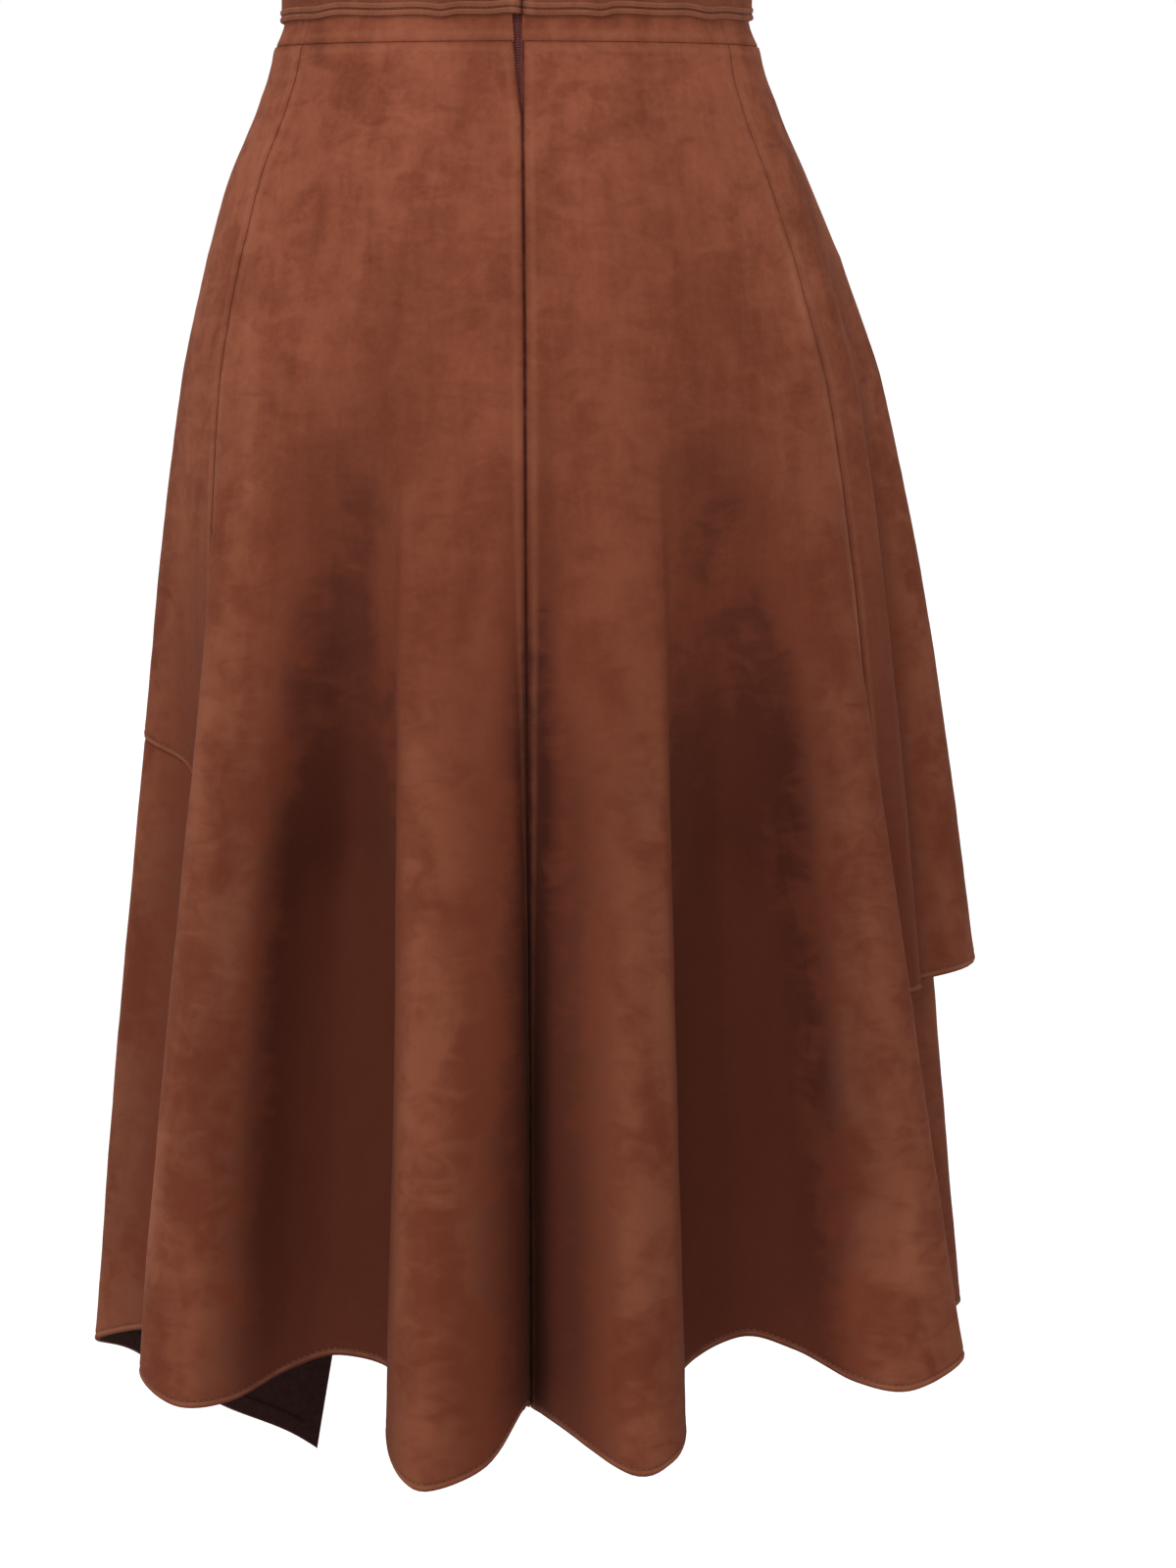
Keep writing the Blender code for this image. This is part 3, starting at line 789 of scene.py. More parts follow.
def weave_group() -> bpy.types.NodeTree:
    """Fine woven tape: ribs along and across with loose threads."""
    tree, bench, given, out = new_group(
        "tape_weave", {"Vector": None, "Rib": 1400.0}, ("Weave", "Height"))
    split = bench.split(given.outputs["Vector"])
    across = bench.math("SINE", bench.math("MULTIPLY", split.outputs[0], given.outputs["Rib"]))
    along = bench.math("SINE", bench.math("MULTIPLY", split.outputs[2],
                                          bench.math("MULTIPLY", given.outputs["Rib"], 3.1)))
    weave = bench.math("MULTIPLY", across, along)
    weave = bench.math("ADD", bench.math("MULTIPLY", weave, 0.35), 0.5)
    loose = bench.noise(given.outputs["Vector"], 900.0, 3.0)
    bench.feed(out.inputs["Weave"], bench.weigh((weave, 0.7), (loose, 0.3)))
    bench.feed(out.inputs["Height"], weave)
    return tree


@dataclass(frozen=True)
class Effects:
    """The node groups that the finishes share."""

    nap: bpy.types.NodeTree
    edge_band: bpy.types.NodeTree
    weave: bpy.types.NodeTree


def new_material(name: str) -> tuple[bpy.types.Material, Bench, bpy.types.Node]:
    """Material with its bench and its shader."""
    material = bpy.data.materials.new(name)
    material.use_nodes = True
    return material, Bench(material.node_tree), material.node_tree.nodes["Principled BSDF"]


class Tint(Enum):
    """Colours of a finish that its edge lines take: the crush colour, which also carries painted
    shade, and the wear colour, which also carries painted highlights.
    """

    CRUSH_AND_SHADE = "crush_and_shade"
    WEAR_AND_HIGHLIGHT = "wear_and_highlight"


class EdgeLine(NamedTuple):
    """Line of colour at a distance from an edge, for worn and flattened nap, painted shade and
    painted highlights along hems and seams.
    """

    edge: str
    at: float
    width: float
    share: float
    tint: Tint


@dataclass(frozen=True)
class SuedeFinish:
    """Brushed faux suede: a clouded nap outside and a smooth dark knit inside, with painted shade
    and painted highlights in its colour.
    """

    name: str
    light: tuple[float, float, float] = (0.250, 0.076, 0.041)
    deep: tuple[float, float, float] = (0.134, 0.035, 0.018)
    # Painted shade: the colour that the cloth darkens towards further down the skirt.
    lower: tuple[float, float, float] = (0.108, 0.026, 0.013)
    # Crush colour: flattened nap along stitches and seams, and painted shade in the fold valleys,
    # grooves, dark streaks and at the hem's edge.
    crush_and_shade: tuple[float, float, float] = (0.036, 0.009, 0.006)
    # Wear colour: worn nap on the hem's roll, and painted highlights on the crests, ridges, cords
    # and light streaks.
    wear_and_highlight: tuple[float, float, float] = (0.285, 0.108, 0.060)
    # Colour of the inside: the knit's own dark brown, made darker still as painted shade.
    backing_and_shade: tuple[float, float, float] = (0.017, 0.007, 0.006)
    sheen: float = 0.05
    clouds: float = 0.58
    streaks: float = 0.24
    grain: float = 0.22
    broad_shade: float = 0.30
    lower_from: float = -0.03
    lower_to: float = -0.42
    lower_painted_shade: float = 0.86
    # Painted shade in the fold valleys, growing with how deep the cloth lies behind the crests, its
    # edge made ragged by the clouds.
    valley_painted_shade: float = 0.60
    valley_from: float = -0.001
    valley_to: float = 0.030
    ragged: float = 0.020
    ragged_from: float = 0.006
    # Strengths of the painted shade in dark streaks, the painted highlights in light streaks and
    # the painted highlights on the crests.
    streak_painted_shade: float = 0.80
    streak_painted_highlight: float = 0.90
    crest_painted_highlight: float = 0.25
    fibre: float = 1500.0
    # Along the hem: a painted highlight with some wear on the turned roll, a painted shadow at the
    # very edge, and flattened nap with painted shade in the stitch dent.
    hem_lines: tuple[EdgeLine, ...] = (
        EdgeLine("hem", 0.0022, 0.0016, 0.35, Tint.WEAR_AND_HIGHLIGHT),
        EdgeLine("hem", 0.0, 0.0011, 0.75, Tint.CRUSH_AND_SHADE),
        EdgeLine("hem", STITCH_INSET, 0.0009, 0.5, Tint.CRUSH_AND_SHADE))
    # Painted shade in the seam grooves, stronger the deeper a seam is sunk.
    seam_groove: float = 0.0016
    seam_gaps: float = 0.35
    # Painted highlight on the pressed ridge beside each seam.
    seam_ridge_highlight: EdgeLine = EdgeLine("seam", 0.0042, 0.0030, 0.20, Tint.WEAR_AND_HIGHLIGHT)

    def nap_with_painted_shade(self, bench: Bench, nap: bpy.types.Node,
                   place: bpy.types.NodeSocket) -> bpy.types.NodeSocket:
        """Colour of the open cloth, with painted shade that darkens it down the skirt and in the
        valleys of its folds.

        Args:
            bench: The material's bench.
            nap: The brushed nap.
            place: Place on the skirt.

        Returns:
            The colour.
        """
        tone = bench.weigh((nap.outputs["Clouds"], self.clouds),
                           (nap.outputs["Streaks"], self.streaks),
                           (nap.outputs["Grain"], self.grain))
        colour = bench.mix(tone, self.deep, self.light)
        broad = bench.noise(bench.stretch(place, (1.0, 1.0, 0.4)), 9.0, 3.0)
        colour = bench.mix(bench.span(broad, 0.55, 0.30, 0.0, self.broad_shade), colour,
                           self.deep)
        # Painted shade: darker towards the hem.
        height = bench.split(place).outputs["Z"]
        colour = bench.mix(bench.span(height, self.lower_from, self.lower_to, 0.0,
                                      self.lower_painted_shade), colour, self.lower)
        # Painted shade in the fold valleys, with a ragged edge.
        ragged = bench.math("MULTIPLY", bench.math("SUBTRACT", nap.outputs["Clouds"], 0.5),
                            self.ragged)
        ragged = bench.math("MULTIPLY", ragged,
                            bench.span(bench.fact("hollow"), 0.0, self.ragged_from))
        hollow = bench.math("ADD", bench.fact("hollow"), ragged)
        valley = bench.math("MULTIPLY", bench.span(hollow, self.valley_from, self.valley_to),
                            self.valley_painted_shade)
        return bench.mix(valley, colour, self.crush_and_shade)

    def with_painted_streaks(self, bench: Bench, nap: bpy.types.Node,
                 colour: bpy.types.NodeSocket) -> bpy.types.NodeSocket:
        """Colour with the streaks of painted shade and painted highlight, and painted highlights on
        the crests.

        Args:
            bench: The material's bench.
            nap: The brushed nap.
            colour: The colour so far.

        Returns:
            The colour.
        """
        patchy = bench.span(nap.outputs["Clouds"], 0.0, 1.0, 0.55, 1.25, smooth=False)
        # Painted shade for a plus tone, painted highlight for a minus tone.
        shade = bench.math("MULTIPLY", bench.fact("shade"), patchy)
        for full, share, tint in ((1.0, self.streak_painted_shade, self.crush_and_shade),
                                  (-1.0, self.streak_painted_highlight, self.wear_and_highlight)):
            colour = bench.mix(bench.span(shade, 0.0, full, 0.0, share, smooth=False), colour,
                               tint)
        # Painted highlights on the fold crests.
        crest = bench.math("MULTIPLY", bench.fact("crest"), self.crest_painted_highlight)
        return bench.mix(bench.math("MULTIPLY", crest, nap.outputs["Clouds"]), colour,
                         self.wear_and_highlight)

    def edge_line(self, bench: Bench, edge_band: bpy.types.NodeTree, place: bpy.types.NodeSocket,
                  colour: bpy.types.NodeSocket, line: EdgeLine) -> bpy.types.NodeSocket:
        """Colour with one line along an edge, in the tint that the line names."""
        mask = bench.group(edge_band, vector=place, distance=bench.fact(line.edge), at=line.at,
                           width=line.width).outputs["Mask"]
        return bench.mix(bench.math("MULTIPLY", mask, line.share), colour,
                         getattr(self, line.tint.value))

    def make(self, effects: Effects) -> bpy.types.Material:
        """Build the material.

        Args:
            effects: The shared node groups.

        Returns:
            The material.
        """
        material, bench, shader = new_material(self.name)
        place = bench.object_place()
        nap = bench.group(effects.nap, vector=place, fibre=self.fibre)
        colour = self.with_painted_streaks(bench, nap, self.nap_with_painted_shade(bench, nap, place))
        # Painted highlight, painted shadow and flattened nap along the hem.
        for line in self.hem_lines:
            colour = self.edge_line(bench, effects.edge_band, place, colour, line)
        # Painted shade in the sunk seam grooves.
        groove = bench.group(effects.edge_band, vector=place, distance=bench.fact("seam"),
                             width=self.seam_groove, gaps=self.seam_gaps)
        colour = bench.mix(bench.math("MULTIPLY", groove.outputs["Mask"], bench.fact("sunk")),
                           colour, self.crush_and_shade)
        # Painted highlight on the pressed ridge beside the seam.
        colour = self.edge_line(bench, effects.edge_band, place, colour, self.seam_ridge_highlight)

        # Inside faces: the dark knit colour, partly painted shade.
        knit = bench.mix(nap.outputs["Grain"], self.backing_and_shade,
                         tuple(channel * 1.5 for channel in self.backing_and_shade))
        colour = bench.mix(bench.fact("inside"), colour, knit)
        bench.feed(shader.inputs["Base Color"], colour)
        bench.feed(shader.inputs["Roughness"],
                   bench.span(nap.outputs["Grain"], 0.0, 1.0, 0.97, 0.82))
        shader.inputs["Specular IOR Level"].default_value = 0.03
        shader.inputs["Sheen Weight"].default_value = self.sheen
        shader.inputs["Sheen Roughness"].default_value = 0.42
        shader.inputs["Sheen Tint"].default_value = (0.90, 0.46, 0.30, 1.0)
        bench.bump(shader, nap.outputs["Height"], 0.55, 0.0005)
        return material


@dataclass(frozen=True)
class TapeFinish:
    """Dyed woven tape and the nylon coil on it."""

    name: str
    colour: tuple[float, float, float] = (0.160, 0.026, 0.020)
    dark: tuple[float, float, float] = (0.080, 0.014, 0.011)
    rough: float = 0.80

    def make(self, effects: Effects) -> bpy.types.Material:
        """Build the material.

        Args:
            effects: The shared node groups.

        Returns:
            The material.
        """
        material, bench, shader = new_material(self.name)
        place = bench.object_place()
        weave = bench.group(effects.weave, vector=place)
        colour = bench.mix(bench.span(weave.outputs["Weave"], 0.2, 0.8), self.dark, self.colour)
        worn = bench.noise(place, 140.0, 3.0)
        colour = bench.mix(bench.span(worn, 0.5, 0.75, 0.0, 0.3), colour,
                           tuple(channel * 1.9 for channel in self.colour))
        bench.feed(shader.inputs["Base Color"], colour)
        bench.feed(shader.inputs["Roughness"],
                   bench.span(worn, 0.3, 0.7, self.rough, self.rough + 0.15))
        bench.bump(shader, weave.outputs["Height"], 0.5, 0.0002)
        return material


@dataclass(frozen=True)
class ThreadFinish:
    """Twisted sewing thread in the colour of the cloth."""

    name: str
    colour: tuple[float, float, float] = (0.135, 0.044, 0.024)
    shade: tuple[float, float, float] = (0.060, 0.018, 0.010)

    def make(self, effects: Effects) -> bpy.types.Material:
        """Build the material.

        Args:
            effects: The shared node groups.

        Returns:
            The material.
        """
        material, bench, shader = new_material(self.name)
        place = bench.object_place()
        nap = bench.group(effects.nap, vector=place, cloud=60.0, streak=400.0, fibre=4200.0)
        bench.feed(shader.inputs["Base Color"],
                   bench.mix(nap.outputs["Grain"], self.shade, self.colour))
        bench.feed(shader.inputs["Roughness"],
                   bench.span(nap.outputs["Clouds"], 0.0, 1.0, 0.55, 0.75))
        bench.bump(shader, nap.outputs["Height"], 0.4, 0.0001)
        return material


@dataclass(frozen=True)
class MetalFinish:
    """Painted zip slider, rubbed bright at its corners."""

    name: str
    paint: tuple[float, float, float] = (0.085, 0.030, 0.028)
    bare: tuple[float, float, float] = (0.36, 0.30, 0.26)

    def make(self, effects: Effects) -> bpy.types.Material:
        """Build the material.

        Args:
            effects: The shared node groups.

        Returns:
            The material.
        """
        material, bench, shader = new_material(self.name)
        place = bench.object_place()
        chips = bench.span(bench.noise(place, 1600.0, 4.0, 0.6), 0.60, 0.68)
        fine = bench.noise(bench.stretch(place, (1.0, 1.0, 0.15)), 5200.0, 2.0)
        bench.feed(shader.inputs["Base Color"], bench.mix(chips, self.paint, self.bare))
        bench.feed(shader.inputs["Metallic"], bench.span(chips, 0.0, 1.0, 0.2, 1.0))
        bench.feed(shader.inputs["Roughness"], bench.span(fine, 0.3, 0.7, 0.30, 0.48))
        return material


@dataclass(frozen=True)
class Finishes:
    """Every finish on the skirt."""

    panel: bpy.types.Material
    belt: bpy.types.Material
    tape: bpy.types.Material
    coil: bpy.types.Material
    thread: bpy.types.Material
    metal: bpy.types.Material

    @classmethod
    def make(cls) -> "Finishes":
        """Build the shared effects and the materials."""
        effects = Effects(nap_group(), edge_band_group(), weave_group())
        return cls(
            panel=SuedeFinish("brown_faux_suede").make(effects),
            # The belt's valley colour is painted shade in the grooves beside its cords.
            belt=SuedeFinish("belt_faux_suede", light=(0.196, 0.062, 0.034),
                             deep=(0.112, 0.032, 0.017), wear_and_highlight=(0.330, 0.140, 0.082),
                             lower_painted_shade=0.0, valley_painted_shade=0.75, valley_to=0.014,
                             ragged=0.002).make(effects),
            tape=TapeFinish("maroon_zip_tape").make(effects),
            coil=TapeFinish("maroon_zip_coil", colour=(0.150, 0.030, 0.030),
                            dark=(0.070, 0.016, 0.018), rough=0.42).make(effects),
            thread=ThreadFinish("brown_thread").make(effects),
            metal=MetalFinish("painted_slider").make(effects),
        )


# ---------------------------------------------------------------- cloth
class Crease(NamedTuple):
    """Soft ridge or dent pressed into the cloth, from one place and height to another."""

    place: float
    height: float
    to_place: float
    to_height: float
    width: float
    rise: float

    def fade(self, share: np.ndarray) -> np.ndarray:
        """Strength along the crease, most in its middle."""
        return 0.35 + 0.65 * np.sin(math.pi * np.clip(share, 0.02, 0.98))


class Streak(NamedTuple):
    """Soft streak of painted shade, turned to a painted highlight by a minus tone."""

    place: float
    height: float
    to_place: float
    to_height: float
    width: float
    tone: float

    def fade(self, share: np.ndarray) -> np.ndarray:
        """Strength along the streak, less only at its start."""
        return np.clip(share * 6.0, 0.3, 1.0)


CREASES = (
    Crease(6.2, -0.335, 8.6, -0.331, 0.0030, -0.0007),
    Crease(11.8, -0.320, 12.8, -0.311, 0.0035, 0.0009),
    Crease(10.9, -0.278, 10.9, -0.302, 0.0024, 0.0007),
    Crease(10.9, -0.342, 11.0, -0.362, 0.0024, -0.0006),
    Crease(12.5, -0.132, 12.7, -0.164, 0.0065, -0.0008),
    Crease(17.2, -0.276, 18.8, -0.288, 0.0040, 0.0009),
    Crease(19.4, -0.289, 20.4, -0.276, 0.0045, -0.0010),
    Crease(16.6, -0.430, 18.4, -0.424, 0.0050, 0.0007),
    Crease(20.0, -0.520, 22.0, -0.512, 0.0050, -0.0007),
    Crease(7.1, -0.150, 9.3, -0.245, 0.0050, 0.0008),
    Crease(27.0, -0.430, 28.6, -0.470, 0.0060, 0.0007),
    Crease(30.0, -0.115, 29.7, -0.250, 0.0030, 0.0009),
)

# Painted shade for a plus tone: the fold valleys, the centre back, both sides, the band's left end
# and along the hem; painted highlights for a minus tone on the seam ridges, flare edges and a lobe
# edge.
PAINTED_STREAKS = (
    Streak(11.2, -0.215, 11.6, -0.255, 0.0300, 0.42),
    Streak(12.6, -0.120, 12.4, -0.210, 0.0150, 0.16),
    Streak(11.2, -0.275, 11.0, -0.420, 0.0200, 0.40),
    Streak(10.4, -0.400, 9.8, -0.600, 0.0180, 0.42),
    Streak(9.6, -0.340, 9.2, -0.560, 0.0150, 0.36),
    Streak(24.6, -0.215, 25.4, -0.255, 0.0290, 0.42),
    Streak(27.0, -0.330, 27.3, -0.580, 0.0160, 0.34),
    Streak(26.0, -0.270, 26.3, -0.420, 0.0200, 0.45),
    Streak(26.6, -0.420, 27.0, -0.600, 0.0180, 0.45),
    Streak(19.5, -0.205, 19.6, -0.690, 0.0085, 0.95),
    Streak(19.3, -0.300, 19.3, -0.690, 0.0110, 0.35),
    Streak(18.6, -0.260, 18.7, -0.640, 0.0060, 0.35),
    Streak(20.3, -0.360, 20.3, -0.640, 0.0100, 0.30),
    Streak(32.2, -0.085, 32.0, -0.440, 0.0150, 0.75),
    Streak(30.7, -0.260, 30.7, -0.500, 0.0100, 0.40),
    Streak(33.0, -0.520, 33.0, -0.660, 0.0200, 0.45),
    Streak(30.6, -0.110, 30.3, -0.220, 0.0080, -0.30),
    Streak(7.4, -0.018, 8.6, -0.034, 0.0060, 0.55),
    Streak(4.6, -0.100, 5.2, -0.330, 0.0160, 0.30),
    Streak(5.2, -0.420, 5.4, -0.620, 0.0260, 0.35),
    Streak(3.0, -0.380, 3.0, -0.640, 0.0400, 0.25),
    Streak(7.4, -0.120, 9.3, -0.250, 0.0060, -0.30),
    Streak(29.8, -0.120, 29.5, -0.330, 0.0040, -0.55),
    Streak(8.6, -0.300, 8.2, -0.620, 0.0120, -0.20),
    Streak(27.9, -0.300, 28.2, -0.620, 0.0100, -0.22),
    Streak(14.9, -0.330, 15.1, -0.640, 0.0080, -0.15),
    Streak(21.2, -0.340, 21.4, -0.640, 0.0180, 0.22),
    Streak(27.6, -0.300, 28.0, -0.560, 0.0260, 0.20),
    Streak(14.0, -0.660, 18.0, -0.660, 0.0160, 0.22),
    Streak(20.0, -0.655, 23.0, -0.655, 0.0180, 0.30),
)


def along_line(row: Crease | Streak, base: np.ndarray) -> np.ndarray:
    """Strength of a streak or a crease at some points.

    Args:
        row: The streak or crease.
        base: Points of the smooth form, one a row.

    Returns:
        Up to 1 on its line, and 0 away from it.
    """
    ends = GIRTH.surface(np.array([row.place, row.to_place]),
                         np.array([row.height, row.to_height]), np.zeros(2))
    along = ends[1] - ends[0]
    share = np.clip(((base - ends[0]) @ along) / (along @ along), 0.0, 1.0)
    away = np.linalg.norm(base - (ends[0] + share[:, None] * along), axis=1)
    return row.fade(share) * np.exp(-((away / row.width) ** 2))


def painted_streaks_at(place: np.ndarray, height: np.ndarray) -> np.ndarray:
    """Sum of the streaks of painted shade and painted highlight at some places on the girth."""
    base = GIRTH.surface(place, height, np.zeros(place.shape)).reshape(-1, 3)
    shade = sum(row.tone * along_line(row, base) for row in PAINTED_STREAKS)
    return shade.reshape(place.shape)


@dataclass(frozen=True)
class Drape:
    """The small relief of hanging suede, the same for every layer at one place."""

    swell: Swell = Swell(0.0010, 0.0, 0.055, 3.2)
    ripple: Swell = Swell(0.00032, 7.3, 0.020, 2.0)
    pucker: Swell = Swell(0.00016, 3.1, 0.008, 1.2)

    def relief(self, place: np.ndarray, height: np.ndarray) -> np.ndarray:
        """Distances that the cloth stands off its smooth form.

        Args:
            place: Places on the girth.
            height: Heights in metres.

        Returns:
            Distances in metres.
        """
        base = GIRTH.surface(place, height, np.zeros(place.shape)).reshape(-1, 3)
        below = np.clip(-base[:, 2] / 0.30, 0.15, 1.0)
        rise = below * self.swell.over(base) + self.ripple.over(base) + self.pucker.over(base)
        for crease in CREASES:
            rise += crease.rise * along_line(crease, base)
        return rise.reshape(place.shape)


DRAPE = Drape()


def seam_line(name: str, laps: int = 0) -> Edge:
    """Edge of a panel along a fold line, some whole laps round the girth."""
    mark = float(GIRTH.index(name) + laps * GIRTH.count)
    return lambda height: np.full(np.shape(height), mark)


def zip_line(height: np.ndarray) -> np.ndarray:
    """Centre-back edge of the left panel, which swings open above the closed seam."""
    height = np.asarray(height, float)
    open_share = np.clip((height - ZIP_CLOSED_AT) / 0.047, 0.0, 1.0) ** 0.75
    return GIRTH.slide(GIRTH.index("centre_back"), height, -ZIP_OPEN * open_share)


def free_line(at_waist: float, at_hem: float, finish: float) -> Edge:
    """Free edge that runs straight from the waist to the hem corner."""
    def line(height: np.ndarray) -> np.ndarray:
        """Places of the edge at some heights."""
        share = np.clip((WAIST_SEAM - height) / (WAIST_SEAM - finish), 0.0, 1.0)
        return blend(at_waist, at_hem, share)
    return line


def on_form(place: np.ndarray, height: np.ndarray) -> np.ndarray:
    """Stand of the panels that lie on the girth curve itself."""
    return np.zeros(np.shape(place))


def close_side(place: np.ndarray) -> np.ndarray:
    """1 along the wearer's left side and at the right side seam, where the overlay lies close."""
    near = place % GIRTH.count
    left = soft_step(2.6, 4.2, near) * (1.0 - soft_step(7.0, 7.2, near))
    right = GIRTH.index("right_seam")
    return np.maximum(left, 1.0 - soft_step(0.2, 1.3, np.abs(near - right)))


def flat_side(place: np.ndarray) -> np.ndarray:
    """1 on the wearer's right of the back, where the waist seam lies flattest."""
    return soft_step(22.0, 27.0, place % GIRTH.count)


def by_waist(height: np.ndarray) -> np.ndarray:
    """1 at the waist seam, where the layers are sewn flat together, and 0 below it."""
    return 1.0 - soft_step(0.0, 0.032, WAIST_SEAM - height)


def wrap_form(place: np.ndarray, height: np.ndarray) -> np.ndarray:
    """Stand of the wrap panel, pressed in a little where the overlay covers its side."""
    covered = soft_step(-0.004, 0.004, height - GIRTH.slanting_hem(OVERLAY_HEM, place))
    return -PRESSED_IN * np.maximum(close_side(place) * covered, by_waist(height))


def under_form(place: np.ndarray, height: np.ndarray) -> np.ndarray:
    """Stand of the panel under the wrap, which lies inside it where the two overlap."""
    inside = LAYER_STEP + 0.002 * soft_step(0.10, 0.40, -height)
    past_seam = soft_step(4.5, 6.5, place - GIRTH.index("right_seam"))
    return wrap_form(place, height) - inside * past_seam


def over_form(place: np.ndarray, height: np.ndarray) -> np.ndarray:
    """Stand of the overlay, one layer out and off the form along its long side."""
    near = place % GIRTH.count - GIRTH.index("right_outline")
    spread = np.exp(-((near / np.where(near < 0, 2.0, 3.2)) ** 2))
    slack = 0.0006 * soft_step(0.15, 0.36, -height)
    layer = blend(LAYER_STEP + slack, 0.0004, np.maximum(close_side(place), by_waist(height)))
    off_seam = soft_step(0.2, 1.6, np.abs(place % GIRTH.count - GIRTH.index("right_seam")))
    return layer + 0.046 * spread * off_seam * np.maximum(0.0, -0.090 - height)


@dataclass
class ClothPanel:
    """One cut panel of the skirt: a closed wall of suede with a turned and stitched hem."""

    name: str
    node: str
    first: Edge
    last: Edge
    bottom: Callable[[np.ndarray], np.ndarray]
    stand: Stand
    flat: tuple[float, float]
    area: float
    hangs_from: str
    column_step: float = 0.0032
    row_step: float = 0.0048
    hem_turn: float = 0.0095
    hem_layers: float = 0.95
    sewn_gap: float = 0.25
    first_sink: float = 0.06
    last_sink: float = 0.06
    waist_sink: float = 0.24
    first_is_free: bool = False
    last_is_free: bool = False
    seam_dent: Ridge = Ridge(-0.00085, 0.0, 0.0010)
    seam_press: Ridge = Ridge(0.00024, 0.0042, 0.0026)
    waist_dent: Ridge = Ridge(-0.00110, 0.0, 0.0009)
    waist_press: Ridge = Ridge(0.00022, 0.0032, 0.0020)
    hem_ridges: tuple[Ridge, ...] = (
        Ridge(0.00028, 0.0018, 0.0011), Ridge(-0.00032, STITCH_INSET, 0.0006),
        Ridge(0.00014, 0.0052, 0.0018))
    edge_steps: tuple[float, ...] = (0.0004, 0.0009, 0.0015, 0.0023)
    top_steps: tuple[float, ...] = (0.0, 0.0005, 0.0011, 0.0018, 0.0027, 0.0040)
    hem_steps: tuple[float, ...] = (0.0135, 0.0112, 0.0098, 0.0088, 0.0070, 0.0052, 0.0042,
                                    0.0034, 0.0026, 0.0018, 0.0011, 0.0006, 0.0002, 0.0)
    stitches: list[np.ndarray] = field(default_factory=list)

    def columns(self) -> np.ndarray:
        """Shares of the way across the panel, even along the hem and close at its edges."""
        start, end = (float(edge(np.array(HEM_LEVEL))) for edge in (self.first, self.last))
        place = np.linspace(start, end, 900)
        length = run_lengths(GIRTH.plan(place, np.full(900, HEM_LEVEL)), 0)
        count = int(round(length[-1] / self.column_step))
        at = np.linspace(0.0, length[-1], count + 1)
        near = np.array((0.0, *self.edge_steps))
        inner = at[(at > near[-1] * 1.5) & (at < length[-1] - near[-1] * 1.5)]
        at = np.concatenate((near, inner, (length[-1] - near)[::-1]))
        return (np.interp(at, length, place) - start) / (end - start)

    def heights(self, share: np.ndarray) -> np.ndarray:
        """Heights of the rows of each column.

        Args:
            share: Shares of the way across the panel.

        Returns:
            Grid of heights, columns by rows.
        """
        deep = self.bottom(blend(self.first(np.array(HEM_LEVEL)), self.last(np.array(HEM_LEVEL)),
                                 share))
        count = int(round((WAIST_SEAM - deep.min()) / self.row_step))
        upper, lower = self.top_steps[-1], self.hem_steps[0]
        middle = np.linspace(0.0, 1.0, count)[1:-1]
        top = WAIST_SEAM - np.array(self.top_steps)[None, :] + 0.0 * deep[:, None]
        body = blend(WAIST_SEAM - upper, (deep + lower)[:, None], middle[None, :])
        hem = deep[:, None] + np.array(self.hem_steps)[None, :]
        return np.concatenate((top, body, hem), axis=1)

    def side_gap(self, sink: float, loose: bool) -> float:
        """Half the gap at a side edge, smaller where two panels are sewn flat together."""
        return SEAM_GAP / 2 * (1.0 if sink > 0.5 or loose else self.sewn_gap)

    def build(self, finishes: Finishes) -> bpy.types.Object:
        """Build the panel's wall and the line of its stitches.

        Args:
            finishes: The skirt's materials.

        Returns:
            The panel.
        """
        share = self.columns()
        height = self.heights(share)
        place = blend(self.first(height), self.last(height), share[:, None])
        shift = blend(self.side_gap(self.first_sink, self.first_is_free),
                      -self.side_gap(self.last_sink, self.last_is_free), share)
        shift = shift[:, None] + 0.0 * height
        stand = self.stand(place, height) + DRAPE.relief(place, height)
        form = GIRTH.surface(place, height, stand, shift)
        run = run_lengths(form, 0)
        from_first, from_last = run, run[-1:] - run
        from_top = WAIST_SEAM - height
        far = np.ones(run.shape)
        seam = np.minimum(far if self.first_is_free else from_first,
                          far if self.last_is_free else from_last)
        free = np.minimum(from_first if self.first_is_free else far,
                          from_last if self.last_is_free else far)
        hem = np.minimum(height - height[:, -1:], free)

        sunk = np.where(from_first < from_last, self.first_sink, self.last_sink)
        waist = self.waist_sink * (1.0 - 0.85 * flat_side(place))
        sunk = np.where(from_top * 1.2 < seam, waist, sunk)
        outer = stand + CLOTH + self.edge_shape(seam, hem, from_top, sunk, height)
        turned = 1.0 - soft_step(self.hem_turn - 0.0008, self.hem_turn, hem)
        inner = stand - CLOTH * self.hem_layers * turned + 0.0007 * round_off(hem, 0.0009)
